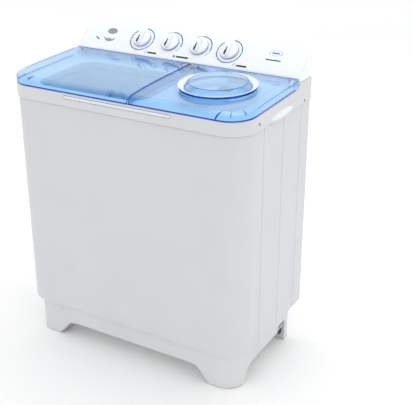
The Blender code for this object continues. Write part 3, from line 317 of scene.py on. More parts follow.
def plate_with_holes(outer, holes, thick):
    """A plate on the deck's slope between an outline and its holes."""
    made = bmesh.new()
    edges = []
    for loop in (outer, *holes):
        points = [made.verts.new((x, y, deck(y))) for x, y in loop]
        edges += [made.edges.new((a, b)) for a, b in zip(points, points[1:] + points[:1])]
    bmesh.ops.triangle_fill(made, use_beauty=True, use_dissolve=False, edges=edges)
    made.verts.index_update()
    top = [tuple(v.co) for v in made.verts]
    faces = [tuple(v.index for v in face.verts) for face in made.faces]
    made.free()
    count = len(top)
    below = [(x, y, z - thick) for x, y, z in top]
    faces += [tuple(count + i for i in face) for face in faces]
    start = 0
    for loop in (outer, *holes):
        size = len(loop)
        for k in range(size):
            a, b = start + k, start + (k + 1) % size
            faces.append((a, b, count + b, count + a))
        start += size
    return top + below, faces


def piece(name, shape, look, body, replaces=(), sharp=38):
    """One visible object, riding on a body and standing for the CAD nodes in REPLACES."""
    verts, faces = shape
    made = bmesh.new()
    points = [made.verts.new(v) for v in verts]
    for face in faces:
        made.faces.new([points[i] for i in face])
    bmesh.ops.remove_doubles(made, verts=made.verts, dist=2e-6)
    bmesh.ops.recalc_face_normals(made, faces=made.faces)
    mesh = bpy.data.meshes.new(name)
    made.to_mesh(mesh)
    made.free()
    mesh.materials.append(look)
    mesh.shade_smooth()
    mesh.set_sharp_from_angle(angle=radians(sharp))
    obj = bpy.data.objects.new(name, mesh)
    bpy.context.scene.collection.objects.link(obj)
    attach(obj, body)
    if replaces:
        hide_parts(*replaces)
    return obj


def combined(obj, shape, operation):
    """OBJ becomes the Boolean of itself and SHAPE."""
    verts, faces = shape
    mesh = bpy.data.meshes.new("tool")
    mesh.from_pydata(verts, [], faces)
    made = bmesh.new()
    made.from_mesh(mesh)
    bmesh.ops.remove_doubles(made, verts=made.verts, dist=2e-6)
    bmesh.ops.recalc_face_normals(made, faces=made.faces)
    made.to_mesh(mesh)
    made.free()
    tool = bpy.data.objects.new("tool", mesh)
    bpy.context.scene.collection.objects.link(tool)
    change = obj.modifiers.new("combine", "BOOLEAN")
    change.operation = operation
    change.object = tool
    change.solver = "EXACT"
    bpy.context.view_layer.update()
    seen = obj.evaluated_get(bpy.context.evaluated_depsgraph_get())
    result = bpy.data.meshes.new_from_object(seen)
    obj.modifiers.clear()
    obj.data = result
    bpy.data.objects.remove(tool, do_unlink=True)
    obj.data.shade_smooth()
    obj.data.set_sharp_from_angle(angle=radians(38))


# ---------------------------------------------------------------- materials

def noise(tree, scale, detail=2.0, stretch=(1, 1, 1)):
    """A 3-D noise in the object's own coordinates."""
    place = tree.nodes.new("ShaderNodeTexCoord")
    mapping = tree.nodes.new("ShaderNodeMapping")
    mapping.inputs["Scale"].default_value = stretch
    texture = tree.nodes.new("ShaderNodeTexNoise")
    texture.inputs["Scale"].default_value = scale
    texture.inputs["Detail"].default_value = detail
    tree.links.new(place.outputs["Object"], mapping.inputs["Vector"])
    tree.links.new(mapping.outputs["Vector"], texture.inputs["Vector"])
    return texture.outputs["Fac"]


def ramp(tree, source, first, last, low=0.35, high=0.65):
    made = tree.nodes.new("ShaderNodeValToRGB")
    made.color_ramp.elements[0].position = low
    made.color_ramp.elements[1].position = high
    made.color_ramp.elements[0].color = first
    made.color_ramp.elements[1].color = last
    tree.links.new(source, made.inputs["Fac"])
    return made.outputs["Color"]


def span(tree, source, low, high):
    made = tree.nodes.new("ShaderNodeMapRange")
    made.inputs["From Min"].default_value = 0.3
    made.inputs["From Max"].default_value = 0.7
    made.inputs["To Min"].default_value = low
    made.inputs["To Max"].default_value = high
    tree.links.new(source, made.inputs["Value"])
    return made.outputs["Result"]


def bump(tree, source, distance, strength=1.0):
    made = tree.nodes.new("ShaderNodeBump")
    made.inputs["Strength"].default_value = strength
    made.inputs["Distance"].default_value = distance
    tree.links.new(source, made.inputs["Height"])
    return made.outputs["Normal"]


def surface(
    name, colour, other, roughness, grain, depth, metallic=0.0, coat=0.0, patch=9.0, stretch=(1, 1, 1)
):
    """A moulded, painted or metal finish: two tones in large patches, and fine grain.

    ROUGHNESS is its lowest and highest value, GRAIN the grain's scale, DEPTH its height.
    """
    made = bpy.data.materials.new(name)
    made.use_nodes = True
    tree = made.node_tree
    shader = tree.nodes["Principled BSDF"]
    shader.inputs["Metallic"].default_value = metallic
    shader.inputs["Coat Weight"].default_value = coat
    shader.inputs["Coat Roughness"].default_value = 0.06
    broad = noise(tree, patch, 3.0)
    fine = noise(tree, grain, 2.0, stretch)
    tree.links.new(ramp(tree, broad, (*colour, 1), (*other, 1)), shader.inputs["Base Color"])
    tree.links.new(span(tree, fine, *roughness), shader.inputs["Roughness"])
    if depth:
        tree.links.new(bump(tree, fine, depth), shader.inputs["Normal"])
    return made


def clear_plastic(name, tint, other, edge, mirror=0.75):
    """Clear tinted moulding: light passes through, deeper in colour and mirrored at a slant."""
    made = bpy.data.materials.new(name)
    made.use_nodes = True
    tree = made.node_tree
    out = tree.nodes["Material Output"]
    gloss = tree.nodes["Principled BSDF"]
    gloss.inputs["Base Color"].default_value = (0.86, 0.94, 1.0, 1)
    gloss.inputs["Metallic"].default_value = 1.0
    tree.links.new(span(tree, noise(tree, 420.0), 0.02, 0.06), gloss.inputs["Roughness"])
    tree.links.new(bump(tree, noise(tree, 22.0), 0.00012), gloss.inputs["Normal"])
    slant = tree.nodes.new("ShaderNodeLayerWeight")
    slant.inputs["Blend"].default_value = 0.5
    body = ramp(tree, noise(tree, 6.0), (*tint, 1), (*other, 1))
    deepen = tree.nodes.new("ShaderNodeMix")
    deepen.data_type = "RGBA"
    deepen.blend_type = "MULTIPLY"
    deepen.inputs["Factor"].default_value = 1.0
    tree.links.new(body, deepen.inputs["A"])
    tree.links.new(
        ramp(tree, slant.outputs["Facing"], (1, 1, 1, 1), (*edge, 1), 0.72, 0.95), deepen.inputs["B"]
    )
    through = tree.nodes.new("ShaderNodeBsdfTransparent")
    tree.links.new(deepen.outputs["Result"], through.inputs["Color"])
    share = ramp(
        tree, slant.outputs["Facing"], (0.03, 0.03, 0.03, 1), (mirror, mirror, mirror, 1), 0.40, 1.0
    )
    mix = tree.nodes.new("ShaderNodeMixShader")
    tree.links.new(share, mix.inputs["Fac"])
    tree.links.new(through.outputs["BSDF"], mix.inputs[1])
    tree.links.new(gloss.outputs["BSDF"], mix.inputs[2])
    tree.links.new(mix.outputs["Shader"], out.inputs["Surface"])
    return made


LOOKS = {
    "white_plastic": surface(
        "satin_white_moulding", (0.645, 0.655, 0.67), (0.665, 0.675, 0.69), (0.30, 0.38), 1400.0, 0.00002
    ),
    # Painted light: a brighter, bluer copy of the white moulding for the deck, ledge, beads and inner flap
    # under the lids.
    "deck_painted_light": surface(
        "deck_moulding_painted_light", (0.88, 0.92, 0.98), (0.90, 0.94, 0.99), (0.26, 0.34), 1400.0, 0.00002
    ),
    "gloss_white": surface(
        "gloss_white_moulding", (0.90, 0.93, 0.96), (0.92, 0.95, 0.98), (0.10, 0.16), 900.0, 0.000008,
        coat=0.5,
    ),
    "painted_steel": surface(
        "powder_coated_steel", (0.64, 0.648, 0.665), (0.655, 0.663, 0.68), (0.34, 0.44), 620.0, 0.00006
    ),
    "base_plastic": surface(
        "satin_grey_white_moulding", (0.665, 0.670, 0.68), (0.69, 0.695, 0.705), (0.42, 0.52), 1800.0,
        0.00005,
    ),
    "tub_plastic": surface(
        "polypropylene", (0.78, 0.87, 0.99), (0.82, 0.90, 0.99), (0.30, 0.40), 1100.0, 0.00003
    ),
    "grey_plastic": surface(
        "grey_nylon", (0.115, 0.125, 0.140), (0.13, 0.14, 0.155), (0.42, 0.55), 1600.0, 0.00004
    ),
    "rubber": surface(
        "black_rubber", (0.018, 0.018, 0.019), (0.026, 0.026, 0.027), (0.65, 0.85), 900.0, 0.00008
    ),
    "steel": surface(
        "machined_steel", (0.52, 0.52, 0.54), (0.60, 0.60, 0.62), (0.18, 0.34), 500.0, 0.00001,
        metallic=1.0, stretch=(1, 1, 12),
    ),
    "motor_steel": surface(
        "stoved_steel", (0.065, 0.07, 0.08), (0.08, 0.086, 0.096), (0.35, 0.50), 800.0, 0.00004, 0.6
    ),
    "chrome": surface(
        "bright_trim", (0.20, 0.205, 0.22), (0.34, 0.345, 0.37), (0.08, 0.16), 700.0, 0.0, 1.0
    ),
    # Partly real trim, partly painted: its near-black tone is painted reflection and shade on the side of
    # each knob's grip bar.
    "dark_chrome_painted_reflection": surface(
        "dark_trim_painted_reflection", (0.03, 0.032, 0.036), (0.10, 0.10, 0.11), (0.10, 0.22), 90.0, 0.0, 1.0, patch=60.0
    ),
    "print_blue": surface(
        "blue_print", (0.008, 0.22, 0.98), (0.012, 0.25, 1.0), (0.28, 0.36), 2000.0, 0.0
    ),
    "print_dark": surface(
        "dark_print", (0.012, 0.010, 0.016), (0.020, 0.017, 0.024), (0.30, 0.40), 2000.0, 0.0
    ),
    "print_grey": surface(
        "grey_print", (0.30, 0.31, 0.34), (0.36, 0.37, 0.40), (0.30, 0.40), 2000.0, 0.0
    ),
    "label": surface("grey_label", (0.50, 0.50, 0.56), (0.54, 0.54, 0.60), (0.40, 0.50), 1500.0, 0.0),
    "blue_clear": clear_plastic(
        "clear_blue_moulding", (0.775, 0.905, 0.998), (0.795, 0.915, 1.0), (0.10, 0.34, 0.86), 0.55
    ),
    # Painted shade: a dark blue copy of the clear moulding for cut edges, the window collar, rings and ribs.
    "blue_painted_shade": clear_plastic(
        "clear_blue_painted_shade", (0.02, 0.20, 0.66), (0.04, 0.24, 0.72), (0.10, 0.30, 0.70), 0.12
    ),
    # Painted light: a brighter copy of the white moulding that lines the scoop and grips so they look lit.
    "recess_painted_light": surface(
        "recess_lining_painted_light", (0.90, 0.935, 0.965), (0.92, 0.95, 0.98), (0.20, 0.28), 800.0, 0.00001, coat=0.4
    ),
}


# ---------------------------------------------------------------- cabinet

def groove_stations(sign):
    """The side of the wrap from back to front, dipping into each pressed groove."""
    half, deep, shape = 0.0042, 0.0025, (1.0, 0.92, 0.55, 0.12, 0.0)
    ys = positions(CASE_RADIUS - CASE_Y, CASE_Y - 0.004, 0.012, (-0.06, 0.10, 0.003))
    ys = [y for y in ys if all(abs(y - g) > half + 0.001 for g in GROOVES)]
    dips = {y: 0.0 for y in ys}
    for groove in GROOVES:
        for k, share in enumerate(shape):
            away = half * k / (len(shape) - 1)
            dips[groove + away] = deep * share
            dips[groove - away] = deep * share
    return [(sign * (CASE_X - dips[y]), y, sign, 0) for y in sorted(dips, reverse=True)]


def wrap_path():
    """The wrap's outline from its rear left flange round the front to its rear right one."""
    flange, turn = 0.016, 0.004
    right = [(CASE_X - flange, CASE_Y, 0, 1), (CASE_X - 0.010, CASE_Y, 0, 1)]
    for k in range(7):
        a = radians(90 - 15 * k)
        right.append((CASE_X - turn + turn * cos(a), CASE_Y - turn + turn * sin(a), cos(a), sin(a)))
    right += groove_stations(1)
    for k in range(1, 25):
        a = radians(-90 * k / 24)
        right.append(
            (CASE_X - CASE_RADIUS * (1 - cos(a)), CASE_RADIUS * (1 + sin(a)) - CASE_Y, cos(a), sin(a))
        )
    left = [(-x, y, -nx, ny) for x, y, nx, ny in right]
    xs = positions(-CASE_X + CASE_RADIUS, CASE_X - CASE_RADIUS, 0.02)[1:-1]
    front = [(x, -CASE_Y, 0, -1) for x in xs]
    return left + front + right[::-1]


def cabinet_wrap():
    """One pressed sheet: three sides, side grooves, a hem turned in at the bottom."""
    hem, r = 0.0160, 0.0022

    def section(x, y, nx, ny):
        top = CASE_HIGH
        if abs(nx) > 0.9 and abs(y - GRIP_Y) < DIP_A:
            top = FRAME_LOW - DIP_B * sqrt(1 - ((y - GRIP_Y) / DIP_A) ** 2) - 0.0003
        deep = hem if y < 0.198 else SHEET + 0.0004
        if y < 0:
            deep += 0.0044 * abs(nx * ny)
        points = [(deep, CASE_LOW), (r, CASE_LOW)]
        points += [
            (r - r * sin(radians(a)), CASE_LOW + r - r * cos(radians(a))) for a in (20, 45, 70, 90)
        ]
        points += [(0, CASE_LOW + (top - CASE_LOW) * share) for share in (0.1, 0.3, 0.5, 0.7, 0.9)]
        points += [
            (0, top - 0.0016), (0.0005, top - 0.0005), (0.0016, top), (SHEET - 0.0003, top),
            (SHEET, top - 0.0005)
        ]
        points += [
            (SHEET, CASE_LOW + 0.3), (SHEET, CASE_LOW + SHEET + 0.0004), (deep, CASE_LOW + SHEET)
        ]
        return points

    rows = [
        [(x - nx * d, y - ny * d, z) for d, z in section(x, y, nx, ny)] for x, y, nx, ny in wrap_path()
    ]
    piece(
        "cabinet_casing", capped(rows), LOOKS["painted_steel"], "cabinet",
        ["cabinet_wrap"]
    )


def back_cover():
    """The rear sheet, with pressed beads and hooded vents."""
    y = CASE_Y - SHEET - 0.0003
    x = CASE_X - SHEET - 0.0015
    low, high = CASE_LOW + SHEET + 0.0003, CASE_HIGH - 0.002
    shapes = [block((-x, y - SHEET, low), (x, y, high), 0.0004)]
    for z in (0.42, 0.56, 0.70):
        shapes.append(bead((-0.30, z), (0.30, z), y))
    for centre in (-0.20, 0.20):
        for row in range(8):
            shapes.append(hood(centre, 0.2225 + 0.016 * row, y))
    piece(
        "back_cover", joined(*shapes), LOOKS["painted_steel"], "cabinet",
        ["back_panel"]
    )


def bead(start, stop, y):
    """A stiffening bead pressed outward, level, between two points (x, z)."""
    half, rise = 0.008, 0.0027
    rows = []
    for k in range(9):
        a = pi * k / 8
        up, out = half * cos(a), rise * sin(a)
        shrink = half * (1 - abs(cos(a)))
        loop = []
        for x in (start[0] - half + shrink * 0.2, stop[0] + half - shrink * 0.2):
            loop.append((x, y - 0.0008 + out, start[1] + up))
        rows.append(loop + [(x, y - 0.0012, start[1] + up * 0.98) for x, _, _ in reversed(loop)])
    return capped(rows)


def hood(x, z, y):
    """A vent hood standing out from the sheet, closed underneath."""
    half, high, out = 0.046, 0.0075, 0.0036
    rows = []
    for k in range(13):
        share = k / 12
        wide = sin(pi * share) ** 0.35
        reach = max(out * wide, 0.0002)
        top = z + 0.35 * high + 0.65 * high * wide
        px = x - half + 2 * half * share
        section = [(-0.0006, z), (reach, z), (reach * 0.8, z + 0.4 * (top - z)), (-0.0006, top)]
        rows.append([(px, y + a, b) for a, b in section])
    return capped(rows)


# ---------------------------------------------------------------- base

def arch_height(at, low, high, rise):
    """Height of the opening's edge between feet that end at LOW and HIGH."""
    flank = ((0.0, 0.0), (0.016, 0.021), (0.030, 0.040), (0.040, 0.050), (rise, ARCH_HIGH))
    reach = min(at - low, high - at)
    if reach <= 0:
        return PAD_PROUD
    for (a, za), (b, zb) in zip(flank, flank[1:]):
        if reach <= b:
            return max(PAD_PROUD, za + (zb - za) * (reach - a) / (b - a))
    return ARCH_HIGH


def smooth_arch(at, low, high, rise):
    """The same edge with its corners rounded, by averaging over a short length."""
    spread = 0.009
    samples = [arch_height(at + spread * k / 6, low, high, rise) for k in range(-6, 7)]
    return sum(samples) / len(samples)


def base_edge(x, y, nx, ny):
    """Height of the base's lower edge at a point of its outline."""
    if abs(ny) > 0.9999:
        return smooth_arch(x, -FOOT_X, FOOT_X, 0.068)
    if abs(nx) > 0.9999:
        edge = smooth_arch(y, FOOT_FRONT, FOOT_REAR, 0.080)
        if nx > 0:
            if NOTCH_Y[0] <= y <= NOTCH_Y[1]:
                near = min(y - NOTCH_Y[0], NOTCH_Y[1] - y)
                return NOTCH_HIGH - 0.006 * max(0, 1 - near / 0.006) ** 2
            if 0.045 < y < NOTCH_Y[0]:
                return ARCH_HIGH
            if y > NOTCH_Y[1]:
                return PAD_PROUD
        return edge
    return PAD_PROUD


def base():
    xs = positions(-BASE_X, BASE_X, 0.02, (-0.285, -0.20, 0.002), (0.20, 0.285, 0.002))
    ys = positions(-BASE_Y, BASE_Y, 0.015, (-0.150, -0.055, 0.002), (0.045, 0.142, 0.001))
    stations = outline(-BASE_X, -BASE_Y, BASE_X, BASE_Y, 0.060, 0.045, 20, xs, ys)
    r = 0.0012

    def section(x, y, nx, ny):
        low = base_edge(x, y, nx, ny)
        points = [(r, low), (0.3 * r, low + 0.3 * r), (0, low + r)]
        points += [(0, low + (BASE_HIGH - low) * share) for share in (0.25, 0.5, 0.75, 0.95)]
        points += [(0, BASE_HIGH - 0.0006), (0.0006, BASE_HIGH), (BASE_WALL, BASE_HIGH)]
        points += [
            (BASE_WALL, low + 0.5 * (BASE_HIGH - low)), (BASE_WALL, low + 0.0006),
            (BASE_WALL - 0.0008, low)
        ]
        return points

    inside = [(x, y) for x, y in inward(stations, BASE_WALL - 0.0005)]
    shapes = [swept(stations, section)]
    shapes.append(
        capped([[(x, y, z) for x, y in inside] for z in (BASE_FLOOR - BASE_WALL, BASE_FLOOR)])
    )
    deep, wall = BASE_FLOOR - BASE_WALL + 0.001, 0.003
    for sx in (-1, 1):
        for sy in (-1, 1):
            near_x = sx * (FOOT_X - 0.012)
            near_y = FOOT_FRONT + 0.002 if sy < 0 else FOOT_REAR
            x0, x1 = sorted((near_x, near_x + sx * wall))
            y0, y1 = sorted((near_y, sy * (BASE_Y - 0.002)))
            shapes.append(block((x0, y0, 0.0130), (x1, y1, deep)))
            x0, x1 = sorted((near_x, sx * (BASE_X - 0.003)))
            y0, y1 = sorted((near_y, near_y + sy * wall))
            shapes.append(block((x0, y0, 0.0030), (x1, y1, deep)))
    x0, x1 = BASE_X - NOTCH_DEPTH, BASE_X - 0.0035
    y0, y1 = NOTCH_Y
    shapes.append(block((x0 - wall, y0 - wall, BASE_FLOOR - 0.002), (x1, y0, NOTCH_HIGH + wall)))
    shapes.append(block((x0 - wall, y1, BASE_FLOOR - 0.002), (x1, y1 + wall, NOTCH_HIGH + wall)))
    shapes.append(block((x0 - wall, y0 - wall, BASE_FLOOR - 0.002), (x0, y1 + wall, NOTCH_HIGH + wall)))
    shapes.append(block((x0 - wall, y0 - wall, NOTCH_HIGH), (x1, y1 + wall, NOTCH_HIGH + wall)))
    piece("base", joined(*shapes), LOOKS["base_plastic"], "cabinet", ["base_plinth"])


# ---------------------------------------------------------------- top frame

def recess(x, y, z, nx, ny):
    """How far the frame's wall is sunk at a point: the finger scoop and the two hand grips."""
    if ny < -0.999 and SCOOP[0] - 0.01 < x < SCOOP[1] + 0.01:
        half = (SCOOP[3] - SCOOP[2]) / 2
        along = max(SCOOP[0] + half - x, 0, x - SCOOP[1] + half)
        inside = half - hypot(along, z - (SCOOP[2] + SCOOP[3]) / 2)
        return 0.0078 * ease(inside / 0.0016)
    if abs(nx) > 0.999:
        from_middle = hypot((y - GRIP_Y) / GRIP_A, (z - GRIP_Z) / GRIP_B)
        if from_middle < 1:
            return 0.0115 * (1 - from_middle**2) ** 0.62
        for sy, sz in FRAME_SCREWS:
            away = hypot(y - sy, z - sz)
            if away < SCREW_HOLE_R + 0.0004:
                return 0.0060 * ease((SCREW_HOLE_R + 0.0004 - away) / 0.0009)
    return 0.0


def ease(share):
    share = min(1.0, max(0.0, share))
    return share * share * (3 - 2 * share)


def frame_top(y):
    """Height of the wall's top edge: the deck's, then up behind the lids to the ledge."""
    if y <= RISER_FOOT_Y:
        return deck(y)
    if y >= RISER_TOP_Y:
        return LEDGE_HIGH
    if y < RISER_KNEE_Y:
        low = deck(RISER_FOOT_Y)
        return low + (RISER_KNEE_Z - low) * ease((y - RISER_FOOT_Y) / (RISER_KNEE_Y - RISER_FOOT_Y))
    return RISER_KNEE_Z + (LEDGE_HIGH - RISER_KNEE_Z) * ease(
        (y - RISER_KNEE_Y) / (RISER_TOP_Y - RISER_KNEE_Y)
    )


def frame_wall():
    """The frame's outer wall with its rounded top edge, as one closed band."""
    end = 0.0008
    xs = positions(
        -FRAME_X, FRAME_X, 0.02, (SCOOP[0] - 0.002, SCOOP[0] + 0.010, end), (
            SCOOP[1] - 0.010, SCOOP[1] + 0.002, end
        )
    )
    tip = (GRIP_Y - GRIP_A, GRIP_Y + GRIP_A)
    ys = positions(
        -FRAME_Y, FRAME_Y, 0.012,
        (-0.0565, tip[0] + 0.010, 0.0008), (tip[0] + 0.010, tip[1] - 0.010, 0.003),
        (tip[1] - 0.010, 0.0945, 0.0008), (0.112, 0.132, 0.0009),
        *((screw_y - 0.006, screw_y + 0.006, 0.0005) for screw_y, _ in FRAME_SCREWS),
    )
    stations = outline(-FRAME_X, -FRAME_Y, FRAME_X, FRAME_Y, *FRAME_CORNERS, 24, xs, ys)
    levels = 58

    def section(x, y, nx, ny):
        low = FRAME_LOW
        if abs(nx) > 0.9 and abs(y - GRIP_Y) < DIP_A:
            low = FRAME_LOW + 0.0004 - DIP_B * sqrt(1 - ((y - GRIP_Y) / DIP_A) ** 2)
        high = frame_top(y)
        outer = [(FRAME_FOOT, low), (0.3 * FRAME_FOOT, low + 0.3 * FRAME_FOOT), (0.0, low + FRAME_FOOT)]
        for k in range(1, levels + 1):
            z = low + FRAME_FOOT + (high - FRAME_EDGE - low - FRAME_FOOT) * k / levels
            outer.append((recess(x, y, z, nx, ny), z))
        for a in (18, 36, 54, 72, 90):
            outer.append(
                (FRAME_EDGE * (1 - cos(radians(a))), high - FRAME_EDGE * (1 - sin(radians(a))))
            )
        inner = [(FRAME_EDGE + 0.0004, high - FRAME_SKIN)]
        inner += [(d + FRAME_SKIN, z) for d, z in outer[-8:0:-4]]
        return outer + inner + [(FRAME_SKIN, low)]

    return swept(stations, section)


def lip(loop_at):
    """A collar that turns down round a mouth; LOOP_AT gives the outline grown by a distance."""
    r, skin = 0.0022, 0.003
    section = [(r, 0.0), (0.66 * r, -0.0002), (0.3 * r, -0.3 * r), (0.08 * r, -0.66 * r), (0, -r)]
    section += [
        (0, -0.0195), (0.0006, -0.020), (skin - 0.0005, -0.020), (skin, -0.0194), (skin, -0.003),
        (r + 0.001, -0.0012)
    ]
    rows = [[(x, y, h + deck(y)) for x, y in loop_at(d)] for d, h in section]
    return grid(rows, around=True, loop=True)


def wash_mouth(grow):
    x0, y0, x1, y1 = WASH_HOLE
    stations = outline(x0, y0, x1, y1, WASH_HOLE_RADIUS, WASH_HOLE_RADIUS, 20)
    return inward(stations, -grow)


def spin_mouth(grow):
    return circle(SPIN_X, SPIN_Y, SPIN_HOLE_R + grow, 96)


def ear(x, y, z, foot):
    """A hinge post standing on the deck."""
    side_view = [(y - EAR_R, foot)] + arc(y, z, EAR_R, 180, 0, 12) + [(y + 0.55 * EAR_R, foot)]
    return placed(along_x(flat(side_view, -EAR_HALF, EAR_HALF, 0.0004)), Matrix.Translation((x, 0, 0)))


def rim_bead(loop, high=0.0010, half=0.0012):
    """A low bead along a line of (x, y) on the deck."""
    rows = []
    for x, y, nx, ny in with_normals(loop):
        foot = deck(y) - 0.0004
        rows.append([(x + nx * half * c, y + ny * half * c, foot + h * high) for c, h in BEAD_SECTION])
    return capped(rows)


def top_frame():
    x, y = FRAME_X, FRAME_Y
    rim = outline(-x, -y, x, y, *FRAME_CORNERS, 24)
    front = [p for p in inward(rim, FRAME_EDGE) if p[1] < 0.112]
    edge_x = x - FRAME_EDGE
    right = [p for p in front if p[0] > 0]
    left = [p for p in front if p[0] <= 0]
    left_side = sorted((p for p in left if p[0] < -edge_x + 1e-6), key=lambda p: -p[1])
    left_rest = sorted((p for p in left if p[0] >= -edge_x + 1e-6), key=lambda p: p[0])
    right_rest = sorted((p for p in right if p[0] <= edge_x - 1e-6), key=lambda p: p[0])
    right_side = sorted((p for p in right if p[0] > edge_x - 1e-6), key=lambda p: p[1])
    plan = [(-edge_x, LEDGE_Y)] + left_side + left_rest + right_rest + right_side + [(edge_x, LEDGE_Y)]
    holes = (wash_mouth(MOUTH_EDGE), spin_mouth(MOUTH_EDGE))
    piece(
        "upper_frame_wall", frame_wall(), LOOKS["white_plastic"], "cabinet",
        ["top_frame"]
    )
    shapes = [plate_with_holes(plan, holes, FRAME_SKIN), lip(wash_mouth), lip(spin_mouth)]
    # The riser behind the lids and the ledge for the console
    foot, under = deck(LEDGE_Y), LEDGE_HIGH - FRAME_SKIN
    section = [(LEDGE_Y - 0.004, foot - 0.0030), (LEDGE_Y - 0.004, foot - 0.0002), (LEDGE_Y, foot)]
    section += [(LEDGE_Y, LEDGE_HIGH), (y - FRAME_EDGE, LEDGE_HIGH), (y - FRAME_EDGE, under)]
    section += [(LEDGE_Y + FRAME_SKIN, under), (LEDGE_Y + FRAME_SKIN, foot - 0.0030)]
    section = eased(section, [0.0, 0.0, 0.002, 0.0014, 0.0, 0.0, 0.0, 0.0], closed=True)
    shape = capped([[(px, a, b) for a, b in section] for px in (-edge_x, edge_x)])
    # The ledge wears the brighter copy of the white moulding: painted light.
    ledge = piece("upper_frame_ledge", shape, LOOKS["deck_painted_light"], "cabinet")
    low, high = LEDGE_HIGH - 0.01, LEDGE_HIGH + 0.01
    rod_hole = [(0, low), (ROD_HOLE_R, low), (ROD_HOLE_R, high), (0, high)]
    combined(ledge, turned(rod_hole, 32, False, knob_x(2), VALVE_Y), "DIFFERENCE")
    for side in (-1, 1):
        near, far = sorted((side * (x - 0.012), side * (edge_x + 0.0005)))
        profile = [(py, frame_top(py)) for py in positions(RISER_FOOT_Y, LEDGE_Y + 0.001, 0.0012)]
        profile += [
            (LEDGE_Y + 0.001, deck(LEDGE_Y) - 0.001), (RISER_FOOT_Y, deck(RISER_FOOT_Y) - 0.001)
        ]
        across = ((near, 0.0006), (near + 0.0006, 0), (far, 0))
        shapes.append(capped([[(px, a, b - drop) for a, b in profile] for px, drop in across]))
    for at in LID_EARS:
        shapes.append(ear(at, LID_AXIS_Y, LID_AXIS_Z, deck(LID_AXIS_Y) - 0.0008))
    for at in INNER_EARS:
        shapes.append(
            ear(at, INNER_AXIS_Y, deck(INNER_AXIS_Y) + INNER_AXIS_RISE, deck(INNER_AXIS_Y) - 0.0008)
        )
    # The deck wears the brighter copy of the white moulding: painted light.
    piece("upper_frame_deck", joined(*shapes), LOOKS["deck_painted_light"], "cabinet")


def lining(rows):
    """A thin dish through closed rows: the front ones inwards, then as many outwards behind them."""
    verts, faces = grid(rows, around=True)
    width, last = len(rows[0]), len(rows) // 2 - 1
    faces = [f for f in faces if f[0] // width != last]
    faces.append(tuple(last * width + k for k in range(width)))
    faces.append(tuple((last + 1) * width + k for k in range(width)))
    start = len(verts) - width
    for k in range(width):
        n = (k + 1) % width
        faces.append((k, n, start + n, start + k))
    return verts, faces


def dish(loop_at, mouth, floor, depth, thick=0.0004):
    """A lining as (a, b, depth): LOOP_AT gives the outline shrunk by a distance, as (a, b)."""
    steps = [
        (mouth, 0.0006), (mouth * 1.02, 0.45 * depth), (mouth + 0.0010, depth - 0.0006), (floor, depth)
    ]
    front = [[(a, b, d) for a, b in loop_at(inset)] for inset, d in steps]
    back = [[(a, b, d + thick) for a, b in loop_at(inset)] for inset, d in reversed(steps)]
    return lining(front + back)


def recess_linings():
    """Bright linings in the finger scoop and the two hand grips: painted light, so the recesses look lit
    instead of shaded.
    """
    x0, x1, z0, z1 = SCOOP
    half = (z1 - z0) / 2

    def slot(inset):
        r = half - inset
        left = arc(x0 + half, z0 + half, r, 90, 270, 16)
        return left + arc(x1 - half, z0 + half, r, 270, 450, 16)

    verts, faces = dish(slot, 0.0017, 0.0034, 0.0070)
    shape = [(a, d - FRAME_Y, b) for a, b, d in verts], faces
    piece("scoop_lining", shape, LOOKS["recess_painted_light"], "cabinet")
    for name, side in (("left", -1), ("right", 1)):
        rows = []
        for back in (0, 1):
            for share in (1.0, 0.96, 0.88, 0.74, 0.56, 0.36, 0.16, 0.04)[:: 1 - 2 * back]:
                deep = 0.0115 * (1 - (share * 0.985) ** 2) ** 0.62 - 0.0007 + 0.0004 * back
                x = side * (FRAME_X - max(deep, 0.0004 + 0.0003 * back))
                loop = circle(GRIP_Y, GRIP_Z, GRIP_A * share * 0.985, 64, GRIP_B / GRIP_A)
                rows.append([(x, a, b) for a, b in loop])
        piece("grip_lining_" + name, lining(rows), LOOKS["recess_painted_light"], "cabinet")


def deck_beads():
    """The seat line that runs inside the lids' edges, and the rib between the two tubs."""
    x, y, r = 0.353, -0.185, 0.050
    line = [(-x, 0.100)] + arc(-x + r, y + r, r, 180, 270, 14) + [(0.0, y)]
    line += arc(x - r, y + r, r, 270, 360, 14) + [(x, 0.100)]
    shapes = [rim_bead(line), rim_bead([(0.066, -0.178), (0.066, -0.04), (0.066, 0.100)])]
    # The beads wear the brighter copy of the white moulding: painted light.
    piece("deck_beads", joined(*shapes), LOOKS["deck_painted_light"], "cabinet")


# ---------------------------------------------------------------- console

def console_section(top, inset=0.0):
    """The console's side view where its upper corner has come down to TOP."""
    slope = tan(PANEL_TILT)
    low, front = CONSOLE_LOW + inset * 0.3, LEDGE_Y + 0.0004 + inset
    ridge = PANEL_Z + (CONSOLE_BACK - PANEL_Y) * slope
    lift = inset / cos(PANEL_TILT)
    high = min(top, ridge - 0.0003) - inset
    at = PANEL_Y + (high + lift - PANEL_Z) / slope
    points = [
        (front, low), (PANEL_Y + inset, PANEL_Z - 0.4 * inset), (at, high), (CONSOLE_BACK, high),
        (CONSOLE_BACK, low)
    ]
    return eased(points, [0.0010, 0.0050, 0.0030, 0.0004, 0.0004], 6, closed=True)


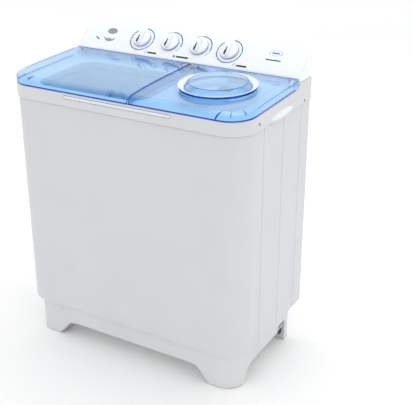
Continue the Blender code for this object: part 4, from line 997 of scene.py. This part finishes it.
def console():
    sections = []
    for k in range(25):
        a = pi / 2 * k / 24
        sections.append(
            (CONSOLE_X - CORNER_A + CORNER_A * sin(a), HEIGHT - CORNER_B * (1 - cos(a)), 0.0)
        )
    last_x, last_top, _ = sections[-1]
    sections[-1] = (last_x - 0.0010, last_top + 0.0004, 0.0)
    sections += [(last_x - 0.0004, last_top, 0.0003), (last_x, last_top - 0.0006, 0.0010)]
    middle = [(px, HEIGHT, 0.0) for px in positions(-0.33, 0.33, 0.03)]
    left = [(-px, top, inset) for px, top, inset in reversed(sections)]
    rows = [
        [(px, a, b) for a, b in console_section(top, inset)] for px, top,
        inset in left + middle + sections
    ]
    shell = capped(rows)
    piece(
        "console_shell", shell, LOOKS["gloss_white"], "cabinet", ["console_panel"],
        sharp=50
    )


def knob_x(k):
    return KNOB_FIRST_X + k * KNOB_SPACING


def on_panel(x, s=KNOB_S):
    """A frame on the console's face: local X across, local Y up the slope, local Z out."""
    y, z = PANEL_Y + s * cos(PANEL_TILT), PANEL_Z + s * sin(PANEL_TILT)
    return Matrix.Translation((x, y, z)) @ Matrix.Rotation(PANEL_TILT, 4, "X")


def knob_grip():
    """The raised bar across a knob: rounded ends, sides that lean in, a crowned top."""
    half_long, half_wide = 0.0262, 0.0065
    rows = []
    for z, inset in (
        (0.0070, 0.0), (0.0150, 0.0006), (0.0185, 0.0012), (0.0196, 0.0022), (0.0200, 0.0036)
    ):
        wide, long = half_wide - inset, half_long - inset * 1.4
        loop = arc(0, long - wide, wide, 0, 180, 14) + arc(0, wide - long, wide, 180, 360, 14)
        rows.append([(x, y, z - 0.0030 * (y / half_long) ** 2 * (z > 0.012)) for x, y in loop])
    return capped(rows)


def knobs():
    skirt = [
        (0, 0.0012), (0.0278, 0.0012), (0.0283, 0.0030), (0.0283, 0.0048), (0.0278, 0.0066),
        (0.0262, 0.0082)
    ]
    skirt += [(0.0235, 0.0093), (0.0190, 0.0100), (0.0120, 0.0104), (0.0, 0.0105)]
    band = [
        (0.0282, 0.0014), (KNOB_R - 0.0002, 0.0014), (KNOB_R, 0.0018), (KNOB_R, 0.0034),
        (KNOB_R - 0.0004, 0.0040), (0.0282, 0.0042)
    ]
    insert = arc(-0.0032, -0.0090, 0.0027, 0, 180, 8) + arc(-0.0032, -0.0205, 0.0027, 180, 360, 8)
    cap = arc(-0.0030, 0.0022, 0.0018, 0, 180, 8) + arc(-0.0030, -0.0074, 0.0018, 180, 360, 8)
    for k, name in enumerate(KNOBS):
        place = on_panel(knob_x(k))
        grip = joined(turned(skirt, 96), knob_grip())
        for suffix, shape, look, replaced, sharp in (
            ("_cap", grip, "gloss_white", [name], 30),
            ("_ring", turned(band, 96, closed=True), "chrome", (), 38),
            # A metal insert whose near-black tone is painted reflection and shade.
            ("_insert", flat(insert, 0.0150, 0.0197, 0.0005), "dark_chrome_painted_reflection", (), 38),
            ("_insert_end", flat(cap, 0.0150, 0.0203, 0.0004), "chrome", (), 38),
        ):
            piece(
                name + suffix, placed(shape, place), LOOKS[look], name, replaced, sharp
            )


def printed(loop):
    return capped([[(a, b, z) for a, b in loop] for z in (PRINT_LOW, PRINT_HIGH)])


def band_rows(outer, inner):
    """The section of a printed band between two radii, as (radius, height)."""
    return (outer, PRINT_LOW), (inner, PRINT_LOW), (inner, PRINT_HIGH), (outer, PRINT_HIGH)


def ring_mark(first, last, inner, outer):
    """A printed arc between two clock angles in degrees from the top."""
    steps = max(3, int(abs(last - first) / 2.5))
    turns = [radians(90 - first - (last - first) * k / steps) for k in range(steps + 1)]
    return capped([[(r * cos(t), r * sin(t), z) for r, z in band_rows(outer, inner)] for t in turns])


def bar_mark(x, y, long, wide, lean=0.0):
    half, low, high = long / 2, y - wide / 2, y + wide / 2
    loop = [
        (x - half, low + lean), (x + half, low - lean), (x + half, high - lean), (x - half, high + lean)
    ]
    return printed(eased(loop, wide * 0.4, 4, closed=True))


def hoop_mark(x, y, radius, wide, squash=1.0):
    rows = [
        [(a, b, z) for a, b in circle(x, y, r, 48, squash)] for r, z in band_rows(radius + wide, radius)
    ]
    return grid(rows, around=True, loop=True)


def disc_mark(x, y, radius, squash=1.0):
    return printed(circle(x, y, radius, 48, squash))


def wave_mark(x, y, long, high):
    """A plain trough with a rippled top edge."""
    steps = 24
    shares = [k / steps for k in range(steps + 1)]
    top = [(x - long / 2 + long * share, y + high / 2 + 0.0018 * sin(tau * 2.5 * share)) for share in shares]
    return printed(top + arc(x, y + high / 4, long * 0.36, 0, -180, 24, 0.5))


def dial_prints():
    """Plain scales and generic marks printed on the console's face."""
    blue, dark, grey = [], [], []
    inner, outer = 0.0384, 0.0426
    for k in (0, 3):
        place = on_panel(knob_x(k))
        for step in range(6):
            at = 15 + 57.4 * step
            blue.append(placed(ring_mark(at - 13.5, at + 13.5, inner, outer), place))
            if step < 5:
                dark.append(
                    placed(ring_mark(at + 15, at + 42.4, inner + 0.0006, outer - 0.0008), place)
                )
    for k in (1, 2):
        place = on_panel(knob_x(k))
        blue.append(placed(ring_mark(-6, 23, inner, outer), place))
        blue.append(placed(ring_mark(76, 103, inner, outer), place))
        dark.append(placed(ring_mark(25, 74, inner + 0.0004, outer - 0.0008), place))
        grey.append(placed(ring_mark(-36, -9, inner + 0.0011, outer - 0.0011), place))
        grey.append(placed(ring_mark(106, 132, inner + 0.0011, outer - 0.0011), place))
    for k, long in ((0, 0.032), (1, 0.043), (3, 0.034)):
        place = on_panel(knob_x(k))
        dark.append(placed(bar_mark(0.041 + long / 2, -0.0450, long, 0.0062), place))
    place = on_panel(knob_x(1))
    blue.append(placed(bar_mark(0.0335, -0.0450, 0.0085, 0.0085, 0.0014), place))
    for k in (0, 3):
        place = on_panel(knob_x(k))
        blue.append(placed(hoop_mark(0.0335, -0.0440, 0.0040, 0.0012), place))
    place = on_panel(-0.291, 0.0)
    grey.append(placed(disc_mark(0.0, 0.073, 0.0185, 0.62), place))
    grey.append(placed(wave_mark(0.002, 0.037, 0.046, 0.0150), place))
    dark.append(placed(bar_mark(-0.042, 0.040, 0.016, 0.0040, 0.0046), place))
    place = on_panel(0.288, 0.0)
    grey.append(placed(hoop_mark(0.0, 0.074, 0.0195, 0.0018, 0.46), place))
    blue.append(placed(bar_mark(0.0, 0.074, 0.0240, 0.0050), place))
    dark.append(placed(bar_mark(0.0, 0.049, 0.048, 0.0040), place))
    for tone, marks in (("blue", blue), ("dark", dark), ("grey", grey)):
        piece("console_marks_" + tone, joined(*marks), LOOKS["print_" + tone], "cabinet")


# ---------------------------------------------------------------- lids

LID_ENDS = {
    "wash_lid": (-LID_SIDE, LID_SPLIT - LID_GAP / 2, -1),
    "spin_lid": (LID_SPLIT + LID_GAP / 2, LID_SIDE, 1)
}


def lid_profile():
    """A lid's side view from its front edge over the crown to the rear round, above the deck."""
    reach = -0.172 - LID_FRONT
    line = arc(-0.172, 0.0045, reach, 180, 100, 18, 0.0173 / reach)
    crown = [(-0.172, 0.0219), (-0.150, 0.0233), (-0.130, 0.0243), (-0.105, 0.0250), (-0.080, 0.0254)]
    crown += [(-0.050, 0.0257), (-0.020, LID_TOP), (0.020, LID_TOP), (0.060, LID_TOP), (0.100, LID_TOP)]
    axis = LID_AXIS_Z - deck(LID_AXIS_Y)
    tail = eased(
        [(0.106, LID_TOP), (0.1250, LID_TOP - 0.0004), (0.1288, axis - 0.002), (0.1208, axis - 0.0117)],
        0.009, 10
    )
    return line + crown + tail


def lid_floor(y):
    """Height of a side wall's lower edge, which cuts up behind the hinge."""
    return LID_SEAT + max(0.0, (y - 0.104)) * (0.0068 / 0.0168)


def lid_rows(x0, x1, outer_side):
    """Rows across a lid, from one side wall's foot over the top to the other's."""
    line = lid_profile()
    rows = []
    crease = [(0.0, 1.0), (0.0003, 0.55), (0.0010, 0.22), (0.0022, 0.05), (0.0040, 0.0)]
    edge_h = 0.0028
    across = 24

    def ends(y):
        left, right = x0, x1
        away = LID_FRONT + LID_CORNER - y
        if away > 0:
            bite = LID_CORNER - sqrt(max(0.0, LID_CORNER**2 - away**2))
            left, right = (left + bite, right) if outer_side < 0 else (left, right - bite)
        return left, right

    for y, h in [(LID_FRONT, LID_SEAT)] + line:
        left, right = ends(y)
        foot = min(lid_floor(y), h)
        drop = min(edge_h, max(0.0, h - foot) * 0.5)
        wall = [foot + (h - drop - foot) * s for s in (0, 0.33, 0.66)]
        row = [(left, y, z) for z in wall]
        row += [(left + d, y, h - drop * share) for d, share in crease]
        inner_left, inner_right = left + crease[-1][0], right - crease[-1][0]
        row += [(inner_left + (inner_right - inner_left) * c / across, y, h) for c in range(1, across)]
        row += [(right - d, y, h - drop * share) for d, share in reversed(crease)]
        row += [(right, y, z) for z in reversed(wall)]
        rows.append(row)
    return rows


def lid_shell(name, ears):
    """A lid's wall, slotted behind each hinge post so that it can swing past it."""
    outer = lid_rows(*LID_ENDS[name])
    shape = on_deck(shell(outer, lid_inner_rows(outer)))
    lid = piece(name, shape, LOOKS["blue_clear"], name, [name], sharp=42)
    top = LID_AXIS_Z - deck(LID_AXIS_Y) + 0.0043
    for at in ears:
        wide = EAR_HALF + 0.0012
        slot = block((at - wide, LID_AXIS_Y, -0.01), (at + wide, 0.14, top), 0.0004)
        combined(lid, on_deck(slot), "DIFFERENCE")
    return lid


def shell(outer, inner):
    """A wall between two matching grids, closed along their edges."""
    height, width = len(outer), len(outer[0])
    verts, faces = joined(grid(outer), grid(inner))
    rim = [(0, c) for c in range(width)] + [(r, width - 1) for r in range(1, height)]
    rim += [(height - 1, c) for c in range(width - 2, -1, -1)] + [
        (r, 0) for r in range(height - 2, 0, -1)
    ]
    count = height * width
    for (ra, ca), (rb, cb) in zip(rim, rim[1:] + rim[:1]):
        a, b = ra * width + ca, rb * width + cb
        faces.append((a, b, count + b, count + a))
    return verts, faces


def lid_inner_rows(outer):
    """The inside of a lid's wall: each point moved in from the front, the sides and the top."""
    t = LID_THICK
    inner = []
    crown_in = offset_line([(LID_FRONT, LID_SEAT)] + lid_profile(), t)
    for row, (y_in, h_in) in zip(outer, crown_in):
        top = row[len(row) // 2][2]
        x_low, x_high = row[0][0], row[-1][0]
        out = []
        for x, _, h in row:
            px = min(max(x, x_low + t), x_high - t)
            share = (h - row[0][2]) / max(top - row[0][2], 1e-6)
            out.append((px, y_in, row[0][2] + (h_in - row[0][2]) * min(1.0, share)))
        inner.append(out)
    return inner


def offset_line(line, distance):
    """A line moved to its right-hand side."""
    return [(a + na * distance, b + nb * distance) for a, b, na, nb in with_normals(line)]


def lid_rim(name):
    """Painted shade on a lid's cut edges: a dark blue line inside its foot, its split edge and its rear."""
    x0, x1, outer_side = LID_ENDS[name]
    rows = []
    y = LID_FRONT + 0.0003
    rear = 0.102
    side, split = (x0, x1) if outer_side < 0 else (x1, x0)
    inset = -outer_side * 0.0003
    turn = arc(
        side - outer_side * LID_CORNER, LID_FRONT + LID_CORNER, LID_CORNER - 0.0003, 180, 270, 20
    )
    if outer_side > 0:
        turn = [(2 * (side - LID_CORNER) - x, y) for x, y in turn]
    path = [(side + inset, rear)] + [(x, py) for x, py in turn] + [(split + outer_side * 0.0003, y)]
    deep = outer_side * (LID_THICK - 0.0006)
    section = ((0, 0.0009), (deep, 0.0009), (deep, 0.0034), (0, 0.0034))
    for px, py, nx, ny in with_normals(path):
        rows.append([(px + nx * d, py + ny * d, h) for d, h in section])
    shapes = [on_deck(capped(rows))]
    line = [(a, h) for a, h in lid_profile() if a < 0.122]
    edge = split + outer_side * 0.0003
    low, high = sorted((edge, edge + outer_side * 0.0018))
    under = offset_line(line, 0.0014)
    top = offset_line(line, 0.0002)
    rows = [
        [(low, a, h), (high, a, h), (high, c, g), (low, c, g)] for (a, h), (c, g) in zip(top, under)
    ]
    shapes.append(on_deck(capped(rows)))
    edge = side - outer_side * 0.0006
    low, high = sorted((edge, edge - outer_side * 0.0012))
    span_y = [p for p in line if -0.138 < p[0] < 0.118]
    section = ((low, 0.0032), (high, 0.0032), (high, 0.0016), (low, 0.0024))
    rows = [[(px, a, h - down) for px, down in section] for a, h in span_y]
    shapes.append(on_deck(capped(rows)))
    axis = LID_AXIS_Z - deck(LID_AXIS_Y)
    low, high = x0 + 0.004, x1 - 0.004
    bar = [
        (0.1225, LID_TOP - 0.0010), (0.1240, LID_TOP - 0.0016), (0.1262, axis + 0.0060),
        (0.1250, axis + 0.0058)
    ]
    shapes.append(on_deck(capped([[(px, a, b) for a, b in bar] for px in (low, high)])))
    piece(name + "_rim", joined(*shapes), LOOKS["blue_painted_shade"], name)


def knuckle(x, pin_to):
    """A block under a lid round its hinge axis, with a short pin."""
    width = 0.008 if pin_to > x else -0.008
    low, high = sorted((x - width, x))
    axis = LID_AXIS_Z
    top = deck(LID_AXIS_Y) + LID_TOP - LID_THICK - 0.0002
    loop = arc(LID_AXIS_Y, axis, EAR_R, 180, 360, 12) + [
        (LID_AXIS_Y + EAR_R, top), (LID_AXIS_Y - EAR_R, top)
    ]
    body = along_x(flat(loop, low, high, 0.0004))
    near, far = sorted((x, x + (0.0008 if width > 0 else -0.0008)))
    pin = along_x(flat(circle(LID_AXIS_Y, axis, PIN_R, 24), near, far, 0.0001))
    return joined(body, pin)


def lid_fittings(name, ears, ribs):
    """Hinge knuckles and corner ribs moulded inside a lid."""
    left, right = ears
    gap = EAR_HALF + EAR_GAP
    shapes = [knuckle(left + gap, left - EAR_HALF), knuckle(right - gap, right + EAR_HALF)]
    for (ax, ay), (bx, by) in ribs:
        shapes.append(corner_rib(ax, ay, bx, by))
    # The knuckles and ribs wear the dark blue copy of the clear moulding: painted shade.
    piece(name + "_fittings", joined(*shapes), LOOKS["blue_painted_shade"], name)


def inner_line(line):
    """A thin rib under a lid's top along a line of (x, y)."""
    half, high = 0.0006, 0.0022
    rows = []
    for x, y, nx, ny in with_normals(line):
        top = crown(y) - LID_THICK - 0.0003
        section = ((-half, top - high), (half, top - high), (half, top), (-half, top))
        rows.append([(x + nx * d, y + ny * d, z) for d, z in section])
    return on_deck(capped(rows))


def lid_lines():
    """Stiffening ribs inside each lid, parallel to its outer edges."""
    for name, sign, inner_end in (("spin_lid", 1, 0.048), ("wash_lid", -1, -0.028)):
        outer, front, r = 0.356, -0.180, 0.044
        turn = arc(outer - r, front + r, r, 0, -90, 12)
        line = [(outer, y) for y in (0.100, 0.060, 0.0, -0.060, -0.110)] + turn
        line += [
            (x, front) for x in (0.25, 0.20, 0.15, 0.10) if x > abs(inner_end)
        ] + [(abs(inner_end), front)]
        line = [(sign * x, y) for x, y in line]
        piece(name + "_inner_rib", inner_line(line), LOOKS["blue_clear"], name)


def crown(y):
    """Height of a lid's top above the deck."""
    line = lid_profile()
    for (ya, ha), (yb, hb) in zip(line, line[1:]):
        if ya <= y <= yb:
            return ha + (hb - ha) * (y - ya) / max(yb - ya, 1e-6)
    return LID_TOP


def corner_rib(ax, ay, bx, by):
    """A thin upright rib from inside a lid's edge towards its middle."""
    half, steps = 0.0006, 8
    size = hypot(bx - ax, by - ay)
    nx, ny = (by - ay) / size * half, (ax - bx) / size * half
    rows = []
    for k in range(steps + 1):
        x, y = ax + (bx - ax) * k / steps, ay + (by - ay) * k / steps
        top = crown(y) - LID_THICK - 0.0004
        low = max(0.0012, top - 0.0020 - 0.006 * (1 - k / steps))
        rows.append(
            [(x - nx, y - ny, low), (x + nx, y + ny, low), (x + nx, y + ny, top), (x - nx, y - ny, top)]
        )
    return on_deck(capped(rows))


def round_window(profile, steps=96):
    """A ring on the deck round the spin window's centre."""
    return on_deck(turned(profile, steps, True, SPIN_X, SPIN_Y))


def lids():
    lid_shell("wash_lid", LID_EARS[:2])
    for name in LID_ENDS:
        lid_rim(name)
    ribs = (((-0.362, -0.172), (-0.352, -0.155)), ((-0.330, -0.190), (-0.322, -0.170)))
    lid_fittings("wash_lid", LID_EARS[:2], ribs)
    spin = lid_shell("spin_lid", LID_EARS[2:])
    low, high = LID_TOP - 0.0012, LID_TOP + 0.0040
    step = [(COLLAR_R, low), (COLLAR_STEP_R, low), (COLLAR_STEP_R, high), (COLLAR_R, high)]
    step = eased(step, [0.0, 0.0, 0.0016, 0.0], 4, closed=True)
    combined(spin, round_window(step), "UNION")
    hole = turned(
        [(0, -0.1), (WINDOW_HOLE_R, -0.1), (WINDOW_HOLE_R, 0.1), (0, 0.1)], 96, False, SPIN_X, SPIN_Y
    )
    combined(spin, on_deck(hole), "DIFFERENCE")
    outer = COLLAR_R + 0.003
    collar = [(COLLAR_R, LID_TOP + 0.0030), (outer, LID_TOP + 0.0030)]
    collar += [(outer, LID_TOP + 0.0078), (COLLAR_R, LID_TOP + 0.0065)]
    shape = round_window(collar)
    # The collar wears the dark blue copy: painted shade of its wall and of the ring's shadow on the lid.
    piece("spin_lid_collar", shape, LOOKS["blue_painted_shade"], "spin_lid")
    ribs = (
        ((0.308, -0.2100), (0.313, -0.182)), ((0.346, -0.1955), (0.337, -0.172)),
        ((0.376, -0.168), (0.362, -0.156))
    )
    lid_fittings("spin_lid", LID_EARS[2:], ribs)


def window():
    """The white ring and the clear domed lens set in the spin lid."""
    low = LID_TOP + 0.0002
    ring = [(WINDOW_HOLE_R, low + 0.0024), (RING_R - 0.0015, low + 0.0090), (RING_R, low + 0.0092)]
    ring += [(RING_R, low + 0.0113), (WINDOW_HOLE_R, low + 0.0046)]
    ring = eased(ring, [0.0006, 0.0004, 0.0008, 0.0016, 0.0008], 5, closed=True)
    shape = round_window(ring, 128)
    piece("window_trim", shape, LOOKS["gloss_white"], "spin_lid", ["window_ring"])
    rim = WINDOW_HOLE_R - 0.0004
    top, wall = LID_TOP + WINDOW_RISE, 0.0024
    bands = [(WINDOW_R - 0.0012, top - 0.0014, 0.0007), (rim - 0.0012, LID_TOP + 0.0030, 0.0010)]
    shapes = [turned(circle(r, z, half, 10), 96, True, SPIN_X, SPIN_Y) for r, z, half in bands]
    # Thin dark blue rings at the lens's rim and crown: painted shade.
    piece("window_dome_edges", on_deck(joined(*shapes)), LOOKS["blue_painted_shade"], "spin_lid")
    lens = [
        (0, top - wall), (WINDOW_R - 0.0020, top - wall), (rim - 0.0030, LID_TOP + 0.0010),
        (rim - 0.0030, LID_TOP - 0.0030)
    ]
    lens += [(rim, LID_TOP - 0.0030), (rim, LID_TOP + 0.0040), (WINDOW_R, top), (0, top)]
    lens = eased(lens, [0.0, 0.0030, 0.0015, 0.0004, 0.0004, 0.0020, 0.0024, 0.0], 5)
    shape = on_deck(turned(lens, 128, False, SPIN_X, SPIN_Y))
    piece("window_dome", shape, LOOKS["blue_clear"], "spin_lid", ["window_lens"])


def inner_lid():
    """The flap over the basket's mouth, its hinge barrel, lift tab and a blank label."""
    r = INNER_LID_R
    disc = [
        (0, 0.0008), (r - 0.0006, 0.0008), (r, 0.0014), (r, 0.0026), (r - 0.0008, 0.0032),
        (r - 0.010, 0.0036)
    ]
    disc += [
        (r - 0.012, 0.0030), (r - 0.020, 0.0030), (r - 0.022, 0.0036), (0.060, 0.0036),
        (0.058, 0.0030), (0.052, 0.0030), (0.050, 0.0036), (0, 0.0036)
    ]
    left, right = INNER_EARS
    gap = EAR_HALF + EAR_GAP
    shapes = [turned(disc, 96, False, SPIN_X, SPIN_Y)]
    shapes.append(
        block((left + gap, 0.045, 0.0008), (right - gap, INNER_AXIS_Y + EAR_R - 0.0005, 0.0034))
    )
    barrel = circle(INNER_AXIS_Y, INNER_AXIS_RISE, EAR_R, 24)
    shapes.append(along_x(flat(barrel, left + gap, right - gap, 0.0004)))
    y0, y1 = INNER_AXIS_Y - 0.003, INNER_AXIS_Y + 0.003
    web = [(y0, 0.002), (y1, 0.002), (y1, INNER_AXIS_RISE), (y0, INNER_AXIS_RISE)]
    shapes.append(along_x(flat(web, left + gap, right - gap, 0.0003)))
    grip_y = SPIN_Y - r + 0.010
    shapes.append(
        block((SPIN_X - 0.020, grip_y, 0.0030), (SPIN_X + 0.020, grip_y + 0.004, 0.0100), 0.0012)
    )
    # The flap wears the brighter copy of the white moulding: painted light.
    piece(
        "inner_flap", on_deck(joined(*shapes)), LOOKS["deck_painted_light"], "inner_lid",
        ["spin_inner_lid"]
    )
    label = block((0.192, 0.000, 0.0030), (0.236, 0.036, 0.0038), 0.0003)
    piece("inner_flap_label", on_deck(label), LOOKS["label"], "inner_lid")


# ---------------------------------------------------------------- tubs

def wash_tub():
    """The tub: fluted walls, rounded floor, a rim under the frame's lip."""
    x0, y0, x1, y1 = WASH_HOLE
    grow = 0.004
    xs, ys = positions(x0 - grow, x1 + grow, 0.003), positions(y0 - grow, y1 + grow, 0.003)
    radius = WASH_HOLE_RADIUS + grow
    stations = outline(x0 - grow, y0 - grow, x1 + grow, y1 + grow, radius, radius, 30, xs, ys)
    flutes = [0.5 - 0.5 * cos(tau * k / 12) for k in range(len(stations))]

    def row(out, z, flute=0.0):
        return [
            (x + nx * (out - flute * f), y + ny * (out - flute * f), z) for (x, y, nx, ny),
            f in zip(stations, flutes)
        ]

    rows = [row(-0.004, TUB_LOW), row(0.0015, TUB_LOW + 0.0012), row(0.003, TUB_LOW + 0.006)]
    rows += [
        row(0.003, TUB_HIGH - 0.0040), row(0.0090, TUB_HIGH - 0.0030), row(0.0090, TUB_HIGH - 0.0004),
        row(0.0086, TUB_HIGH)
    ]
    rows += [
        row(0.0006, TUB_HIGH), row(0.0, TUB_HIGH - 0.0006), row(0, 0.790), row(0, 0.775, 0.0004),
        row(0, 0.768, 0.0012)
    ]
    rows += [row(0, 0.60, 0.0014), row(0, 0.46, 0.0012), row(0, 0.452, 0.0004), row(0, 0.440)]
    floor, r = TUB_LOW + 0.004, 0.022
    for a in (15, 30, 45, 60, 75, 90):
        rows.append(row(-r * (1 - cos(radians(a))), floor + r * (1 - sin(radians(a)))))
    piece(
        "wash_tub_shell", capped(rows), LOOKS["tub_plastic"], "cabinet", ["wash_tub"],
        sharp=50
    )


def pulsator():
    """A low domed disc with curved fins and a cap."""
    low = TUB_LOW + 0.010
    disc = [(0, 0), (0.1240, 0), (0.1256, 0.0012), (0.1260, 0.0040), (0.1240, 0.0066), (0.1200, 0.0080)]
    disc += [(0.0950, 0.0086), (0.0700, 0.0104), (0.0500, 0.0145), (0.0330, 0.0215)]
    disc += [(0.0250, 0.0255), (0.0150, 0.0277), (0, 0.0280)]
    shapes = [turned([(r, low + z) for r, z in disc], 96)]
    for k in range(4):
        rows = []
        for j in range(19):
            share = j / 18
            radius = 0.012 + 0.096 * share
            turn = tau * k / 4 + 0.3 + 0.35 * share**2
            top = low + 0.0305 * (1 - ease(share) * 0.45) * (1 - max(0, share - 0.82) * 3.2)
            half = 0.0062 * (1 - 0.35 * share)
            x, y = radius * cos(turn), radius * sin(turn)
            tx, ty = -sin(turn), cos(turn)
            section = [
                (-1.5, 0.0), (-1.0, 0.45), (-0.7, 0.85), (-0.3, 1.0), (0.3, 1.0), (0.7, 0.85),
                (1.0, 0.45), (1.5, 0.0)
            ]
            foot = low + 0.002
            places = [(half * c, foot + (top - low - 0.002) * h) for c, h in section]
            rows.append([(x + tx * a, y + ty * a, z) for a, z in places])
        shapes.append(capped(rows))
    place = Matrix.Translation((WASH_X, WASH_Y, 0))
    piece(
        "pulsator_disc", placed(joined(*shapes), place), LOOKS["gloss_white"], "agitator",
        ["pulsator"]
    )


def perforated_wall(radius, thick, low, high, across, up, hole_r):
    """A drum wall of square cells, each with an eight-sided drain hole through it."""
    verts, faces = [], []
    cell_a, cell_z = tau / across, (high - low) / up
    corner = [(-1, -1), (0, -1), (1, -1), (1, 0), (1, 1), (0, 1), (-1, 1), (-1, 0)]
    for i in range(across):
        for j in range(up):
            a0, z0 = (i + 0.5) * cell_a, low + (j + 0.5) * cell_z
            rings = []
            for r in (radius, radius - thick):
                outer = [(a0 + c * cell_a / 2, z0 + d * cell_z / 2) for c, d in corner]
                inner = []
                for c, d in corner:
                    size = hypot(c, d)
                    inner.append((a0 + c / size * hole_r / radius, z0 + d / size * hole_r))
                for ring in (outer, inner):
                    rings.append([len(verts) + n for n in range(8)])
                    verts += [(r * cos(a), r * sin(a), z) for a, z in ring]
            out_edge, out_hole, in_edge, in_hole = rings
            for n in range(8):
                m = (n + 1) % 8
                faces.append((out_edge[n], out_edge[m], out_hole[m], out_hole[n]))
                faces.append((in_edge[m], in_edge[n], in_hole[n], in_hole[m]))
                faces.append((out_hole[n], out_hole[m], in_hole[m], in_hole[n]))
    return verts, faces


def spin_basket():
    r, t, low, high = BASKET_R, 0.002, BASKET_LOW, BASKET_HIGH
    bore, plain = 0.0063, 0.030
    bottom = [
        (bore, -0.010), (0.020, -0.010), (0.022, 0), (r - 0.006, 0), (r - 0.0016, 0.0014), (r, 0.006)
    ]
    bottom += [(r, plain), (r - t, plain), (r - t, 0.010), (r - 0.006, 0.0052), (0.034, 0.004)]
    bottom += [(0.026, 0.010), (0.021, 0.028), (0.018, plain), (bore, plain)]
    bottom = [(a, low + z) for a, z in bottom]
    top = [
        (0, plain), (0, 0), (0.015, 0), (0.015, 0.018), (0.0135, 0.018), (0.013, 0.003), (t, 0.004),
        (t, plain)
    ]
    top = [(r - inset, high - down) for inset, down in top]
    top = eased(top, [0.0, 0.003, 0.002, 0.0005, 0.0005, 0.001, 0.001, 0.0], 4, closed=True)
    wall = perforated_wall(r, t, low + plain, high - plain, 48, 20, 0.0024)
    shapes = joined(turned(bottom, 96, True), turned(top, 96, True), wall)
    place = Matrix.Translation((SPIN_X, SPIN_Y, 0))
    piece(
        "spin_drum", placed(shapes, place), LOOKS["tub_plastic"], "spinner",
        ["spin_basket"]
    )


# ---------------------------------------------------------------- the rest of the CAD

CARRIED = {
    "rubber": (
        "foot_pad_front_left", "foot_pad_front_right", "foot_pad_rear_left", "foot_pad_rear_right",
        "wash_belt", "spin_seal", "cord_gland",
    ),
    "steel": (
        "back_screw_left", "back_screw_right", "wash_shaft", "spin_shaft", "brake_drum", "brake_lever",
        "motor_pulley", "spin_spring_right", "spin_spring_left", "spin_spring_front",
    ),
    "white_plastic": ("console_rear_cover",),
    "blue_clear": ("lint_filter",),
    "tub_plastic": ("spin_casing", "overflow_cover", "inlet_chute", "drain_valve_body"),
    "grey_plastic": (
        "wash_timer", "wash_mode_switch", "drain_selector", "spin_timer", "lid_switch",
        "water_inlet_connector", "drain_plunger", "drain_hose", "drain_elbow", "spin_drain_pipe", "capacitor",
    ),
    "motor_steel": (
        "wash_gearbox", "wash_pulley", "wash_motor", "spin_motor", "frame_screw_front_left",
        "frame_screw_front_right", "frame_screw_rear_left", "frame_screw_rear_right",
    ),
}


def carried_over():
    for look, names in CARRIED.items():
        for name in names:
            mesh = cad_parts[name].data
            mesh.materials.clear()
            mesh.materials.append(LOOKS[look])


# ---------------------------------------------------------------- camera, light, floor

def camera():
    yaw, pitch = 0.5252, 0.4218
    back = Vector((sin(yaw) * cos(pitch), -cos(yaw) * cos(pitch), sin(pitch)))
    made = bpy.data.cameras.new("camera")
    made.lens = 74.411
    made.sensor_width = 36
    obj = bpy.data.objects.new("camera", made)
    obj.location = (1.33213, -2.01974, 1.54096)
    obj.rotation_mode = "QUATERNION"
    obj.rotation_quaternion = (-back).to_track_quat("-Z", "Y")
    bpy.context.scene.collection.objects.link(obj)
    bpy.context.scene.camera = obj


def softbox(name, place, aim, size, power, colour=(1, 1, 1)):
    made = bpy.data.lights.new(name, "AREA")
    made.shape = "RECTANGLE"
    made.size, made.size_y = size
    made.energy = power
    made.color = colour
    obj = bpy.data.objects.new(name, made)
    obj.location = place
    obj.rotation_mode = "QUATERNION"
    obj.rotation_quaternion = (Vector(aim) - Vector(place)).to_track_quat("-Z", "Y")
    bpy.context.scene.collection.objects.link(obj)


def studio():
    world = bpy.data.worlds.new("studio")
    bpy.context.scene.world = world
    world.use_nodes = True
    sky = world.node_tree.nodes["Background"]
    sky.inputs["Color"].default_value = (0.99, 0.995, 1.0, 1)
    sky.inputs["Strength"].default_value = 1.0
    softbox("overhead", (0.1, 0.9, 2.8), (0, 0, 0.8), (2.4, 1.6), 10)
    softbox("side_fill", (3.0, -0.3, 1.3), (0, 0, 0.5), (1.6, 1.6), 2.5)
    mesh = bpy.data.meshes.new("floor")
    size, drop = 30.0, -0.0006
    corners = [(-size, -size, drop), (size, -size, drop), (size, size, drop), (-size, size, drop)]
    mesh.from_pydata(corners, [], [(0, 1, 2, 3)])
    floor = bpy.data.objects.new("floor", mesh)
    look = surface(
        "pale_floor", (0.94, 0.94, 0.94), (0.96, 0.96, 0.96), (0.7, 0.8), 4.0, 0.0, patch=0.5
    )
    shader = look.node_tree.nodes["Principled BSDF"]
    shader.inputs["Emission Color"].default_value = (1, 1, 1, 1)
    shader.inputs["Emission Strength"].default_value = 0.05
    mesh.materials.append(look)
    bpy.context.scene.collection.objects.link(floor)
    bpy.context.scene.view_settings.view_transform = "Standard"


def main():
    camera()
    studio()
    carried_over()
    for make in (
        base, cabinet_wrap, back_cover, top_frame, recess_linings, deck_beads, console, knobs, dial_prints,
        lids, lid_lines, window, inner_lid, wash_tub, pulsator, spin_basket,
    ):
        make()


main()
